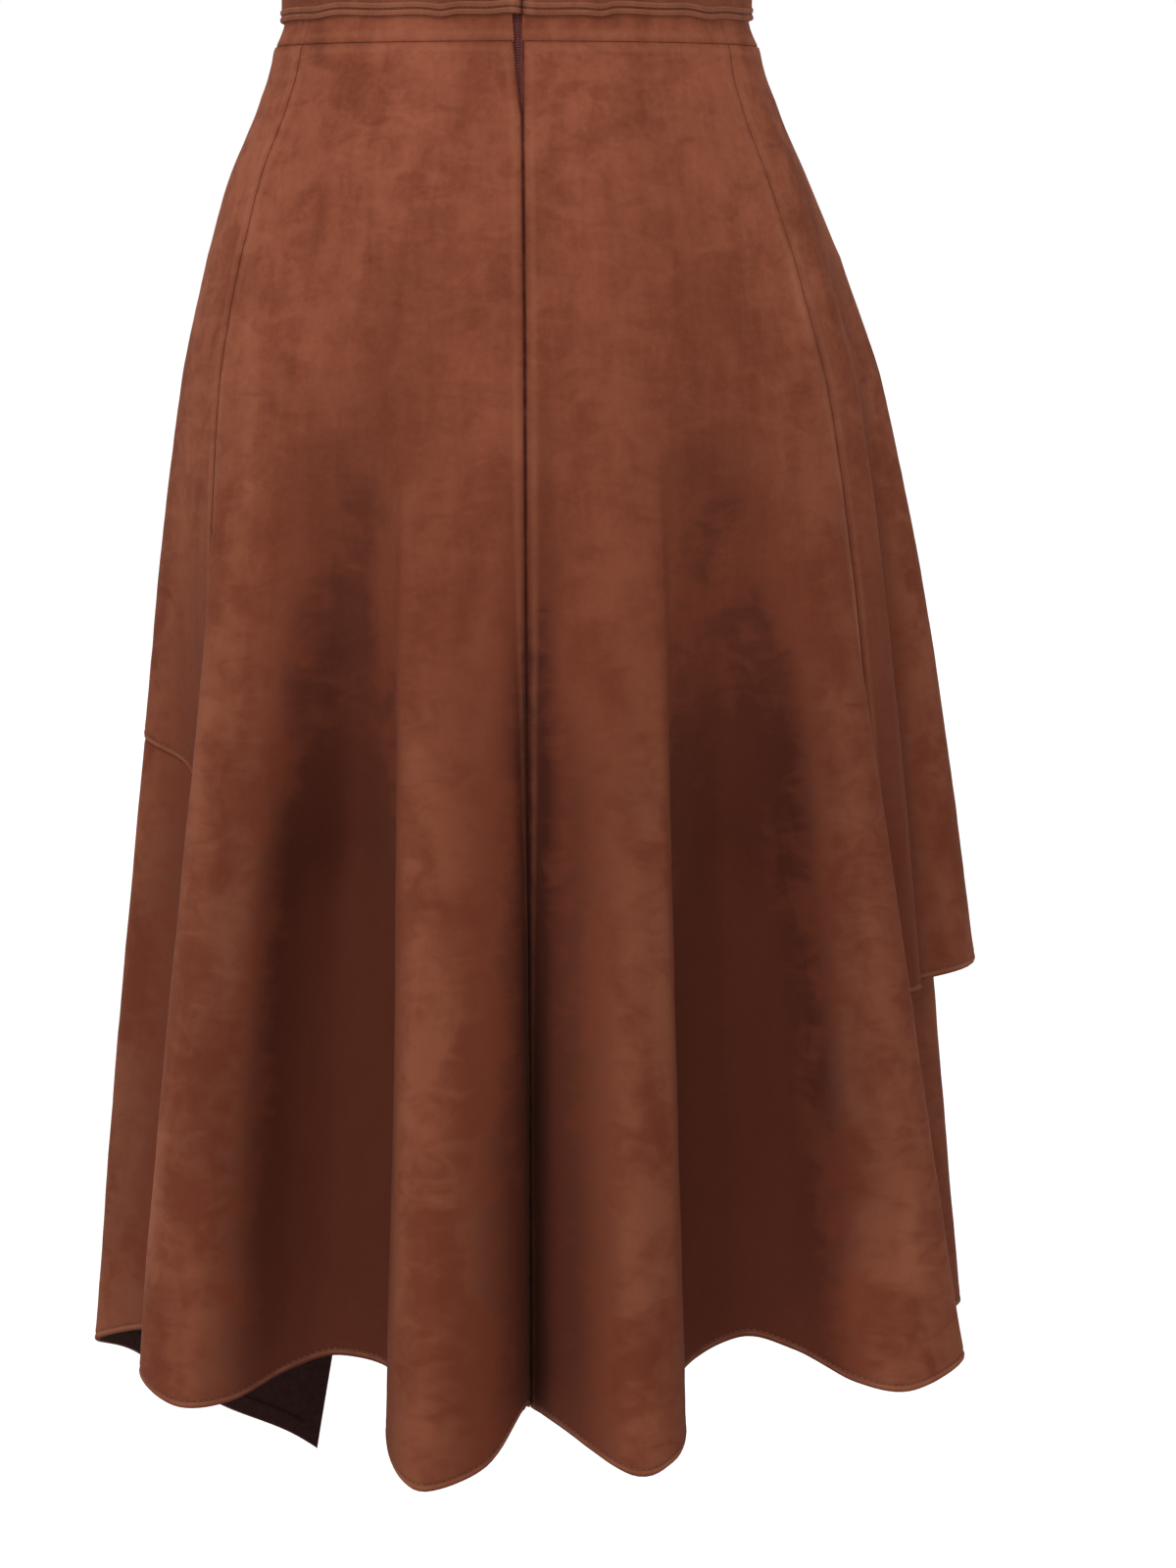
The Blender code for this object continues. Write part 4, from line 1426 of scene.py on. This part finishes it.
        # hollow, crest and shade carry the painted shade in the valleys, the painted highlights on
        # the crests and the painted streaks; sunk sets the painted shade in the seam grooves.
        facts = {
            "hollow": both(GIRTH.depth(place, height)),
            "crest": both(np.clip(-GIRTH.bend(place, height) / 0.03, 0.0, 1.0)),
            "shade": both(painted_streaks_at(place, height)),
            "hem": both(hem),
            "seam": both(np.minimum(seam, from_top * 1.2)),
            "sunk": both(sunk),
            "inside": np.stack((np.zeros(hem.shape), (hem > 0.0002).astype(float))),
        }
        panel = closed_wall(self.name, GIRTH.surface(place, height, outer, shift),
                            GIRTH.surface(place, height, inner, shift), facts, finishes.panel)
        dress(panel, [self.node])
        line = height[:, -1] + STITCH_INSET
        place = blend(self.first(line), self.last(line), share)
        lift = self.stand(place, line) + DRAPE.relief(place, line) + CLOTH - 0.00026
        self.stitches.append(GIRTH.surface(place, line, lift))
        return panel

    def edge_shape(self, seam: np.ndarray, hem: np.ndarray, from_top: np.ndarray,
                   sunk: np.ndarray, height: np.ndarray) -> np.ndarray:
        """Relief of the outer face by its edges.

        Args:
            seam: Distances from the nearest sewn side edge.
            hem: Distances from the nearest free edge.
            from_top: Distances below the waist seam.
            sunk: How far the nearest seam is sunk, 0 to 1.
            height: Heights in metres.

        Returns:
            Distances in metres, plus for outward.
        """
        shape = blend(0.16, 1.0, sunk) * self.seam_dent.over(seam) + self.seam_press.over(seam)
        gather = np.sin(height * 2.0 * math.pi / 0.0135 + 1.7 * np.sin(height * 61.0))
        shape += 0.00016 * blend(0.3, 1.0, sunk) * gather * np.exp(-(seam / 0.0090))
        shape += sunk * self.waist_dent.over(from_top) + self.waist_press.over(from_top)
        return shape - 0.00075 * round_off(hem, 0.0010) + sum(
            ridge.over(hem) for ridge in self.hem_ridges)

    def declare(self, panel: bpy.types.Object, parts: Sequence[bpy.types.Object]) -> None:
        """Takes the panel and its parts, and does nothing with them."""


@dataclass(frozen=True)
class Stitching:
    """A row of machine stitches as short thread lengths, half sunk in the cloth."""

    pitch: float = 0.0032
    length: float = 0.0025
    radius: float = 0.00024
    corners: int = 5
    crisp: float = 60.0
    rings: tuple[tuple[float, float], ...] = (
        (-0.5, 0.35), (-0.34, 1.0), (0.34, 1.0), (0.5, 0.35))

    def thread(self, middle: Vector, along: Vector) -> list[tuple[float, float, float]]:
        """Corners of one stitch, ring by ring along it."""
        side = along.cross(Vector((0.0, 0.0, 1.0))).normalized()
        over = side.cross(along)
        points = []
        for share, size in self.rings:
            centre = middle + along * share * self.length
            for corner in range(self.corners):
                turn = corner * 2.0 * math.pi / self.corners
                spot = (side * math.cos(turn) + over * math.sin(turn)) * self.radius * size
                points.append(tuple(centre + spot))
        return points

    def thread_faces(self, base: int) -> list[tuple[int, ...]]:
        """Faces of one stitch whose first corner has a given number."""
        around = range(self.corners)
        faces = []
        for ring in range(len(self.rings) - 1):
            low = base + ring * self.corners
            for corner in around:
                after = (corner + 1) % self.corners
                faces.append((low + corner, low + after, low + self.corners + after,
                              low + self.corners + corner))
        last = base + (len(self.rings) - 1) * self.corners
        faces.append(tuple(base + corner for corner in reversed(around)))
        faces.append(tuple(last + corner for corner in around))
        return faces

    def build(self, name: str, lines: Sequence[np.ndarray],
              material: bpy.types.Material) -> bpy.types.Object:
        """Build all stitches of some lines as one mesh.

        Args:
            name: Name of the piece.
            lines: Lines of points on the cloth, in the base pattern.
            material: The thread.

        Returns:
            The stitches.
        """
        points: list[tuple[float, float, float]] = []
        faces: list[tuple[int, ...]] = []
        for line in lines:
            line = GIRTH.finished(line)
            run = run_lengths(line, 0)
            for start in np.arange(0.0015, run[-1] - self.pitch, self.pitch):
                middle, ahead = (np.array([np.interp(at, run, line[:, axis]) for axis in range(3)])
                                 for at in (start + self.pitch / 2, start + self.pitch))
                faces += self.thread_faces(len(points))
                points += self.thread(Vector(middle), Vector(ahead - middle).normalized())
        mesh = bpy.data.meshes.new(name)
        mesh.from_pydata(points, [], faces)
        return link_piece(name, mesh, material, self.crisp)


@dataclass(frozen=True)
class Allowance:
    """Seam allowance pressed open on the inside of a seam."""

    name: str
    line: Edge
    bottom: float
    wide: float = 0.0105
    thick: float = 0.0007
    behind: float = 0.0003
    rows: int = 110
    top: float = WAIST_SEAM - 0.002
    across: tuple[float, ...] = (-1.0, -0.55, -0.12, 0.0, 0.12, 0.55, 1.0)
    curl: tuple[float, ...] = (0.0004, 0.0001, 0.0, -0.0001, 0.0, 0.0001, 0.0004)

    def build(self, finishes: Finishes) -> bpy.types.Object:
        """Build the strip on both sides of the seam.

        Args:
            finishes: The skirt's materials.

        Returns:
            The strip.
        """
        height = np.linspace(self.top, self.bottom, self.rows)
        middle = self.line(height)
        place = np.array([[GIRTH.slide(spot, level, np.array(off * self.wide))
                           for spot, level in zip(middle, height)] for off in self.across])
        height = height[None, :] + 0.0 * place
        face = DRAPE.relief(place, height) - self.behind - np.array(self.curl)[:, None]
        outer = GIRTH.surface(place, height, face)
        inner = GIRTH.surface(place, height, face - self.thick)
        flat = np.zeros(place.shape)
        far = flat + 1.0
        facts = {"hollow": both(flat), "hem": both(far), "seam": both(far),
                 "inside": np.stack((far, flat + 0.45))}
        strip = closed_wall(self.name, outer, inner, facts, finishes.panel)
        return dress(strip)


@dataclass
class SkirtPanels:
    """The two back panels, the wrap pair, the overlay, their hems and inside seams."""

    stitching: Stitching = field(default_factory=Stitching)

    def panels(self) -> list[ClothPanel]:
        """The five cut panels."""
        count = GIRTH.count
        return [
            ClothPanel("back_panel_left", "back_left", seam_line("left_seam"), zip_line,
                       GIRTH.level_hem, on_form, (0.36, 0.72), 0.162, "waistband_back_left",
                       last_sink=0.95),
            ClothPanel("back_panel_right", "back_right", seam_line("centre_back"),
                       seam_line("right_seam"), GIRTH.level_hem, on_form, (0.36, 0.72), 0.162,
                       "waistband_back_right", first_sink=0.95),
            ClothPanel("wrap_panel", "front_left", free_line(-0.35, 1.90, -0.790),
                       seam_line("left_seam"), lambda place: GIRTH.slanting_hem(WRAP_HEM, place),
                       wrap_form, (0.46, 0.80), 0.212, "waistband_front", column_step=0.0042,
                       row_step=0.0056, first_is_free=True),
            ClothPanel("under_panel", "front_right", seam_line("right_seam"),
                       free_line(1.6 + count, 3.0 + count, -0.655), GIRTH.level_hem, under_form,
                       (0.60, 0.68), 0.300, "waistband_front", column_step=0.0046,
                       row_step=0.0056, last_is_free=True),
            ClothPanel("slanting_overlay", "overlay", seam_line("right_seam"),
                       seam_line("left_seam", 1),
                       lambda place: GIRTH.slanting_hem(OVERLAY_HEM, place), over_form,
                       (0.74, 0.50), 0.262, "waistband_front", column_step=0.0040,
                       row_step=0.0048, hem_layers=0.25),
        ]

    def build(self, finishes: Finishes) -> None:
        """Build every panel with its stitches and allowances.

        Args:
            finishes: The skirt's materials.
        """
        extras = {
            "back_panel_left": [Allowance("allowance_left_side", seam_line("left_seam"), -0.655)],
            "back_panel_right": [
                Allowance("allowance_centre_back", seam_line("centre_back"), -0.6805, top=-0.175),
                Allowance("allowance_right_side", seam_line("right_seam"), -0.652)],
        }
        for cut in self.panels():
            panel = cut.build(finishes)
            row = self.stitching.build(f"{cut.name}_hem_stitches", cut.stitches, finishes.thread)
            parts = [dress(row)]
            parts += [strip.build(finishes) for strip in extras.get(cut.name, [])]
            cut.declare(panel, parts)


# ---------------------------------------------------------------- waist
@dataclass
class Waist:
    """Waistband in three lengths and the belt in two halves with corded edges."""

    band_rows: int = 18
    band_step: float = 0.0030
    belt_rows: int = 61
    belt_step: float = 0.0026
    belt_cloth: float = 0.0012
    belt_stand: float = 0.0004
    cord_rise: float = 0.0007
    cord_insets: tuple[float, float] = (0.0016, 0.0052)
    cord_half: float = 0.0013
    end_rows: tuple[float, ...] = (0.0, 0.0004, 0.0010, 0.0020)
    seam_dent: Ridge = Ridge(-0.00050, 0.0, 0.0008)
    band_relief: Swell = Swell(0.00012, 0.0, 0.006, 1.0)
    belt_relief: tuple[Swell, ...] = (Swell(0.00013, 0.0, 0.007, 1.0),
                                      Swell(0.00022, 5.0, 0.030, 0.8))
    end_dent: Ridge = Ridge(-0.0005, 0.0, 0.0008)
    lap: float = 12.0
    stitch_points: int = 320

    def band(self, name: str, node: str, first: Edge, last: Edge, flat: tuple[float, float],
             finishes: Finishes) -> bpy.types.Object:
        """One length of the waistband.

        Args:
            name: Name of the piece.
            node: The solid that it stands for.
            first: Its first edge.
            last: Its last edge.
            flat: Its cut, width and height; not used.
            finishes: The skirt's materials.

        Returns:
            The length.
        """
        drop = WAISTBAND_TOP - (WAIST_SEAM + SEAM_GAP)
        ends = np.array(self.end_rows)
        rows = np.concatenate((ends, np.linspace(0.004, drop - 0.004, self.band_rows),
                               drop - ends[::-1]))
        count = int(round(flat[0] / self.band_step))
        height = WAISTBAND_TOP - rows[None, :] + np.zeros((count + 1, 1))
        share = np.linspace(0.0, 1.0, count + 1)[:, None]
        place = GIRTH.even_place(first(height), last(height), share)
        shift = blend(1.0, -1.0, share) * SEAM_GAP / 2
        dent = self.seam_dent.over(np.minimum(rows, drop - rows)[None, :] + 0.0 * height)
        relief = self.band_relief.over(GIRTH.surface(place, height, 0.0).reshape(-1, 3))
        outer = GIRTH.surface(place, height, CLOTH + dent + relief.reshape(place.shape), shift)
        inner = GIRTH.surface(place, height, -0.4 * dent, shift)
        bare = np.zeros(place.shape)
        # sunk sets painted shade in the waist seam's groove, and shade carries the painted streaks.
        facts = {"hollow": both(bare), "hem": both(bare + 1.0),
                 "seam": both(np.maximum(0.0, height - WAIST_SEAM)),
                 "sunk": both(0.30 - 0.24 * flat_side(place)),
                 "shade": both(painted_streaks_at(place, height)),
                 "inside": np.stack((bare, bare + 0.7))}
        piece = closed_wall(name, outer, inner, facts, finishes.panel)
        dress(piece, [node])
        return piece

    def wave(self, place: np.ndarray) -> np.ndarray:
        """Rise and fall of the belt round the waist, in metres."""
        return 0.0006 * np.sin(0.80 * place) + 0.0004 * np.sin(2.1 * place + 1.0)

    def cord(self, height: np.ndarray) -> np.ndarray:
        """Rise of the corded edges on the belt's face at some heights."""
        top = BELT_LOW + BELT_HEIGHT
        rise = np.zeros(height.shape)
        for inset in self.cord_insets:
            for middle in (top - inset, BELT_LOW + inset):
                away = np.clip(np.abs(height - middle) / self.cord_half, 0.0, 1.0)
                rise = np.maximum(rise, self.cord_rise * np.sqrt(1.0 - away**2))
        return rise

    def groove(self, edge: np.ndarray) -> np.ndarray:
        """Painted shade in the grooves beside the cords, as a depth, by distance from the edge."""
        between = np.abs(edge - 0.5 * sum(self.cord_insets))
        depth = np.where(edge < 0.010, 0.012 - 0.012 * np.clip(between / 0.0007, 0, 1), -0.004)
        within = np.abs(edge - self.cord_insets[1] - self.cord_half)
        return np.maximum(depth, 0.010 - 0.014 * np.clip(within / 0.0006, 0, 1))

    def belt_half(self, name: str, node: str, first: float, last: float,
                  lift: Edge, finishes: Finishes) -> bpy.types.Object:
        """Half of the belt.

        Args:
            name: Name of the piece.
            node: The solid that it stands for.
            first: Its first place on the girth.
            last: Its last place.
            lift: How far it stands off for the other half under it.
            finishes: The skirt's materials.

        Returns:
            The half.
        """
        count = int(round(BELT_CUT[0] / self.belt_step))
        share = np.linspace(0.0, 1.0, count + 1)
        place = GIRTH.even_place(np.full(share.shape, first), np.full(share.shape, last), share)
        even = np.linspace(0.0, 1.0, self.belt_rows)
        crowded = 0.5 - 0.5 * np.cos(math.pi * even)
        rows = BELT_LOW + BELT_HEIGHT * (1.0 - blend(even, crowded, 0.75)[None, :])
        stand = (CLOTH + self.belt_stand + lift(place))[:, None]
        place = place[:, None] + 0.0 * rows
        rows = rows + 0.0 * place
        level = np.full(rows.shape, BELT_LOW)
        edge = np.minimum(BELT_LOW + BELT_HEIGHT - rows, rows - BELT_LOW)
        side = BELT_CUT[0] * np.minimum(share, 1.0 - share)[:, None] + 0.0 * rows
        face = self.belt_cloth + self.cord(rows) + self.end_dent.over(side)
        face -= 0.0006 * round_off(edge, 0.0005)
        smooth = GIRTH.surface(place, level, 0.0)
        smooth[..., 2] = rows
        for swell in self.belt_relief:
            face += swell.over(smooth.reshape(-1, 3)).reshape(rows.shape)
        outer = GIRTH.surface(place, level, stand + face)
        inner = GIRTH.surface(place, level, stand + 0.0 * face)
        for grid in (outer, inner):
            grid[..., 2] = rows + self.wave(place)
        # hollow sets painted shade in the grooves beside the cords; hem sets painted highlights on
        # the cords and painted shade at their feet.
        facts = {"hollow": both(self.groove(edge)),
                 "hem": both(np.abs(self.cord_rise - self.cord(rows)) * 4.0 + 0.0012),
                 "seam": both(side), "sunk": both(np.full(rows.shape, 0.9)),
                 "inside": np.stack((np.zeros(rows.shape), np.full(rows.shape, 0.7)))}
        piece = closed_wall(name, outer, inner, facts, finishes.belt)
        dress(piece, [node])
        return piece

    def belt_stitches(self, name: str, first: float, last: float, lift: Edge,
                      finishes: Finishes) -> bpy.types.Object:
        """Two rows of stitches along the belt, in the groove between its cords.

        Args:
            name: Name of the piece.
            first: The half's first place on the girth.
            last: Its last place.
            lift: How far the half stands off for the other half under it.
            finishes: The skirt's materials.

        Returns:
            The stitches.
        """
        share = np.linspace(0, 1, self.stitch_points)
        place = GIRTH.even_place(np.full(share.shape, first), np.full(share.shape, last), share)
        stand = CLOTH + self.belt_stand + lift(place) + self.belt_cloth - 0.00006
        lines = []
        inset = 0.5 * sum(self.cord_insets)
        for height in (BELT_LOW + inset, BELT_LOW + BELT_HEIGHT - inset):
            line = GIRTH.surface(place, np.full(share.shape, BELT_LOW), stand)
            line[:, 2] = height + self.wave(place)
            lines.append(line)
        row = Stitching(pitch=0.0030, length=0.0024, radius=0.00020)
        return dress(row.build(name, lines, finishes.thread))

    def build(self, finishes: Finishes) -> None:
        """Build the waistband and the belt.

        Args:
            finishes: The skirt's materials.
        """
        middle = seam_line("centre_back")
        self.band("waistband_left", "waistband_back_left", seam_line("left_seam"), zip_line,
                  (0.111, 0.055), finishes)
        self.band("waistband_right", "waistband_back_right", middle, seam_line("right_seam"),
                  (0.117, 0.055), finishes)
        self.band("waistband_fore", "waistband_front", seam_line("right_seam"),
                  seam_line("left_seam", 1), (0.425, 0.055), finishes)
        centre = float(GIRTH.index("centre_back"))
        low, high = (float(GIRTH.slide(centre, np.array(BELT_LOW), np.array(off)))
                     for off in (-SEAM_GAP / 2, SEAM_GAP / 2))
        start, end, rise_from, rise_to = (
            float(GIRTH.place_of_turn(np.array(turn)))
            for turn in (-180.0 - self.lap, 180.0 + self.lap, 180.0 - 3.0 * self.lap,
                         180.0 - 2.0 * self.lap))
        step = self.belt_cloth + self.cord_rise + SEAM_GAP

        def flat_lift(place: np.ndarray) -> np.ndarray:
            """The under half lies flat."""
            return np.zeros(place.shape)

        def lap_lift(place: np.ndarray) -> np.ndarray:
            """The over half rises onto the other at the front."""
            return step * soft_step(rise_from, rise_to, place)

        for side, first, last, lift in (("left", start, low, flat_lift),
                                        ("right", high, end, lap_lift)):
            half = self.belt_half(f"belt_half_{side}", f"belt_{side}", first, last, lift,
                                  finishes)
            row = self.belt_stitches(f"belt_stitches_{side}", first, last, lift, finishes)


# ---------------------------------------------------------------- zip
@dataclass
class Zip:
    """Tape, coil and slider behind the centre-back opening."""

    tape_width: float = 0.016
    tape_top: float = 0.0240
    tape_end: float = -0.170
    tape_columns: int = 13
    gap_from: float = -0.017
    gap_to: float = -0.060
    rib_rise: float = 0.00012
    tooth_pitch: float = 0.00125
    tooth_radius: float = 0.00032
    tooth_length: float = 0.0024
    coil_top: float = 0.0015
    coil_end: float = -0.100
    tooth_tilt: float = 0.10

    def tape(self, finishes: Finishes) -> bpy.types.Object:
        """The tape behind the opening.

        Args:
            finishes: The skirt's materials.

        Returns:
            The tape.
        """
        centre = float(GIRTH.index("centre_back"))
        rows = np.concatenate((np.linspace(self.tape_top, self.gap_from, 20)[:-1],
                               np.linspace(self.gap_from, self.gap_to, 36)[:-1],
                               np.linspace(self.gap_to, self.tape_end, 44)))
        share = np.linspace(-0.5, 0.5, self.tape_columns)[:, None]
        height = rows[None, :] + 0.0 * share
        place = GIRTH.slide(centre, height, share * self.tape_width - ZIP_OPEN / 2 + 0.0 * height)
        rib = self.rib_rise * (np.cos(share * 6.0 * math.pi) - 1.0)
        outer = GIRTH.surface(place, height, rib - TAPE_BEHIND)
        inner = GIRTH.surface(place, height, -TAPE_BEHIND - TAPE_CLOTH)
        piece = closed_wall("zip_backing_tape", outer, inner, {}, finishes.tape)
        dress(piece, ["zip_tape"])
        return piece

    def seat(self, height: float, stand: float) -> tuple[Vector, float]:
        """Middle of the opening at a height, and the turn of the cloth there.

        Args:
            height: Height in metres.
            stand: Distance outside the cloth's form.

        Returns:
            The place, and the turn in radians.
        """
        centre = float(GIRTH.index("centre_back"))
        place = GIRTH.slide(centre, np.array([height]), np.array([-ZIP_OPEN / 2]))
        spot = GIRTH.finished(GIRTH.surface(place, np.array([height]), stand))[0]
        normal = GIRTH.outward(place, np.array([height]))[0]
        return Vector(spot), math.atan2(normal[0], -normal[1])

    def tooth(self) -> bpy.types.Object:
        """One loop of the coil, pressed flat with rounded ends."""
        bpy.ops.object.select_all(action="DESELECT")
        bpy.ops.mesh.primitive_cylinder_add(vertices=8, radius=self.tooth_radius,
                                            depth=self.tooth_length,
                                            rotation=(0.0, math.pi / 2, 0.0))
        tooth = bpy.context.object
        bpy.ops.object.transform_apply(location=True, rotation=True, scale=True)
        bpy.ops.object.mode_set(mode="EDIT")
        bpy.ops.mesh.select_all(action="SELECT")
        bpy.ops.mesh.bevel(offset=self.tooth_radius * 0.45, segments=1)
        bpy.ops.transform.resize(value=(1.0, 0.8, 1.0))
        bpy.ops.object.mode_set(mode="OBJECT")
        return tooth

    def coil(self, finishes: Finishes) -> bpy.types.Object:
        """The row of coil loops down the middle of the opening.

        Args:
            finishes: The skirt's materials.

        Returns:
            The coil.
        """
        pattern = self.tooth()
        copies = []
        count = int((self.coil_top - self.coil_end) / self.tooth_pitch)
        for number in range(count):
            height = self.coil_top - number * self.tooth_pitch
            spot, turn = self.seat(height, -TAPE_BEHIND + 0.00034)
            copy = pattern.copy()
            copy.data = pattern.data.copy()
            bpy.context.scene.collection.objects.link(copy)
            copy.rotation_euler = (0.0, self.tooth_tilt * (1 if number % 2 else -1), turn)
            copy.location = spot
            copies.append(copy)
        bpy.data.objects.remove(pattern, do_unlink=True)
        bpy.ops.object.select_all(action="DESELECT")
        for copy in copies:
            copy.select_set(True)
        bpy.context.view_layer.objects.active = copies[0]
        bpy.ops.object.transform_apply(location=True, rotation=True, scale=True)
        bpy.ops.object.join()
        coil = finish_piece(bpy.context.object, "zip_coil", finishes.coil, 40.0)
        return dress(coil)

    def slider(self, finishes: Finishes) -> bpy.types.Object:
        """The slider at the top of the zip, with a small drop pull.

        Args:
            finishes: The skirt's materials.

        Returns:
            The slider.
        """
        low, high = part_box("zip_slider")
        size = high - low
        centre = (high + low) / 2
        bpy.ops.object.select_all(action="DESELECT")
        bpy.ops.mesh.primitive_cube_add(size=1.0, location=centre,
                                        scale=(size.x, size.y, size.z))
        body = bpy.context.object
        bpy.ops.object.transform_apply(location=True, rotation=True, scale=True)
        bpy.ops.object.mode_set(mode="EDIT")
        bpy.ops.mesh.select_all(action="SELECT")
        bpy.ops.mesh.bevel(offset=size.y * 0.28, segments=3, profile=0.6)
        bpy.ops.mesh.select_all(action="DESELECT")
        bpy.ops.object.mode_set(mode="OBJECT")
        for face in body.data.polygons:
            face.select = face.normal.y < -0.9 and face.area > 0.3 * size.x * size.z
        bpy.ops.object.mode_set(mode="EDIT")
        bpy.ops.mesh.select_mode(type="FACE")
        bpy.ops.mesh.inset(thickness=size.x * 0.16)
        bpy.ops.transform.translate(value=(0.0, size.y * 0.18, 0.0))
        bpy.ops.mesh.inset(thickness=size.x * 0.10)
        bpy.ops.transform.translate(value=(0.0, -size.y * 0.16, 0.0))
        bpy.ops.object.mode_set(mode="OBJECT")
        finish_piece(body, "zip_pull_slider", finishes.metal, 35.0)
        return dress(body, ["zip_slider"])

    def build(self, finishes: Finishes) -> None:
        """Build the tape, the coil and the slider.

        Args:
            finishes: The skirt's materials.
        """
        tape = self.tape(finishes)
        coil = self.coil(finishes)
        slider = self.slider(finishes)


# ---------------------------------------------------------------- studio
@dataclass(frozen=True)
class Studio:
    """Plain pale floor, soft light from above and the camera."""

    floor_level: float = -1.35
    floor_radius: float = 40.0
    floor_tone: float = 0.92
    camera_place: tuple[float, float, float] = (0.0365, -2.2, -0.110)
    camera_dip: float = 7.708
    lens: float = 97.5
    key_strength: float = 2.0
    fill_share: float = 0.40
    sun_angle: float = 50.0
    world_strength: float = 0.62

    def floor(self) -> None:
        """Pale floor under the skirt."""
        bpy.ops.object.select_all(action="DESELECT")
        bpy.ops.mesh.primitive_circle_add(vertices=96, radius=self.floor_radius,
                                          fill_type="NGON",
                                          location=(0.0, 0.0, self.floor_level))
        floor = bpy.context.object
        floor.name = "studio_floor"
        material, bench, shader = new_material("pale_floor")
        place = bench.object_place()
        tone = bench.span(bench.noise(place, 3.0, 3.0), 0.3, 0.7, self.floor_tone - 0.01,
                          self.floor_tone + 0.01)
        colour = bench.add("ShaderNodeCombineColor")
        for channel in range(3):
            bench.feed(colour.inputs[channel], tone)
        bench.feed(shader.inputs["Base Color"], colour.outputs[0])
        shader.inputs["Roughness"].default_value = 0.9
        floor.data.materials.append(material)

    def lights(self) -> None:
        """A broad key from above the back, a weaker fill from the front and an even room."""
        for name, strength, turn in (
                ("key", self.key_strength, (42.0, 0.0, -27.0)),
                ("front_fill", self.key_strength * self.fill_share, (-50.0, 0.0, 10.0))):
            light = bpy.data.lights.new(name, "SUN")
            light.energy = strength
            light.angle = math.radians(self.sun_angle)
            lamp = bpy.data.objects.new(name, light)
            lamp.rotation_euler = tuple(math.radians(part) for part in turn)
            bpy.context.scene.collection.objects.link(lamp)
        world = bpy.data.worlds.new("even_room")
        world.use_nodes = True
        bench = Bench(world.node_tree)
        soft = world.node_tree.nodes["Background"]
        soft.inputs["Color"].default_value = (1.0, 0.985, 0.97, 1.0)
        soft.inputs["Strength"].default_value = self.world_strength
        seen = bench.add("ShaderNodeBackground")
        seen.inputs["Color"].default_value = (1.0, 1.0, 1.0, 1.0)
        mixer = bench.add("ShaderNodeMixShader")
        bench.feed(mixer.inputs[0], bench.add("ShaderNodeLightPath").outputs["Is Camera Ray"])
        bench.feed(mixer.inputs[1], soft.outputs[0])
        bench.feed(mixer.inputs[2], seen.outputs[0])
        bench.feed(world.node_tree.nodes["World Output"].inputs[0], mixer.outputs[0])
        bpy.context.scene.world = world
        bpy.context.scene.view_settings.view_transform = "Standard"

    def camera(self) -> None:
        """Camera behind the skirt, a little below the waist and tipped down."""
        data = bpy.data.cameras.new("view")
        data.sensor_fit = "VERTICAL"
        data.sensor_height = 36.0
        data.lens = self.lens
        data.clip_start, data.clip_end = 0.1, 100.0
        camera = bpy.data.objects.new("view", data)
        camera.location = self.camera_place
        camera.rotation_euler = (math.radians(90.0 - self.camera_dip), 0.0, 0.0)
        bpy.context.scene.collection.objects.link(camera)
        bpy.context.scene.camera = camera

    def build(self) -> None:
        """Set up the camera, the lights and the floor."""
        self.camera()
        self.lights()
        self.floor()


def main() -> None:
    """Dress the whole skirt."""
    logging.basicConfig(level=logging.INFO, format="%(message)s")
    Studio().build()
    finishes = Finishes.make()
    Waist().build(finishes)
    SkirtPanels().build(finishes)
    Zip().build(finishes)


if __name__ == "__main__":
    main()
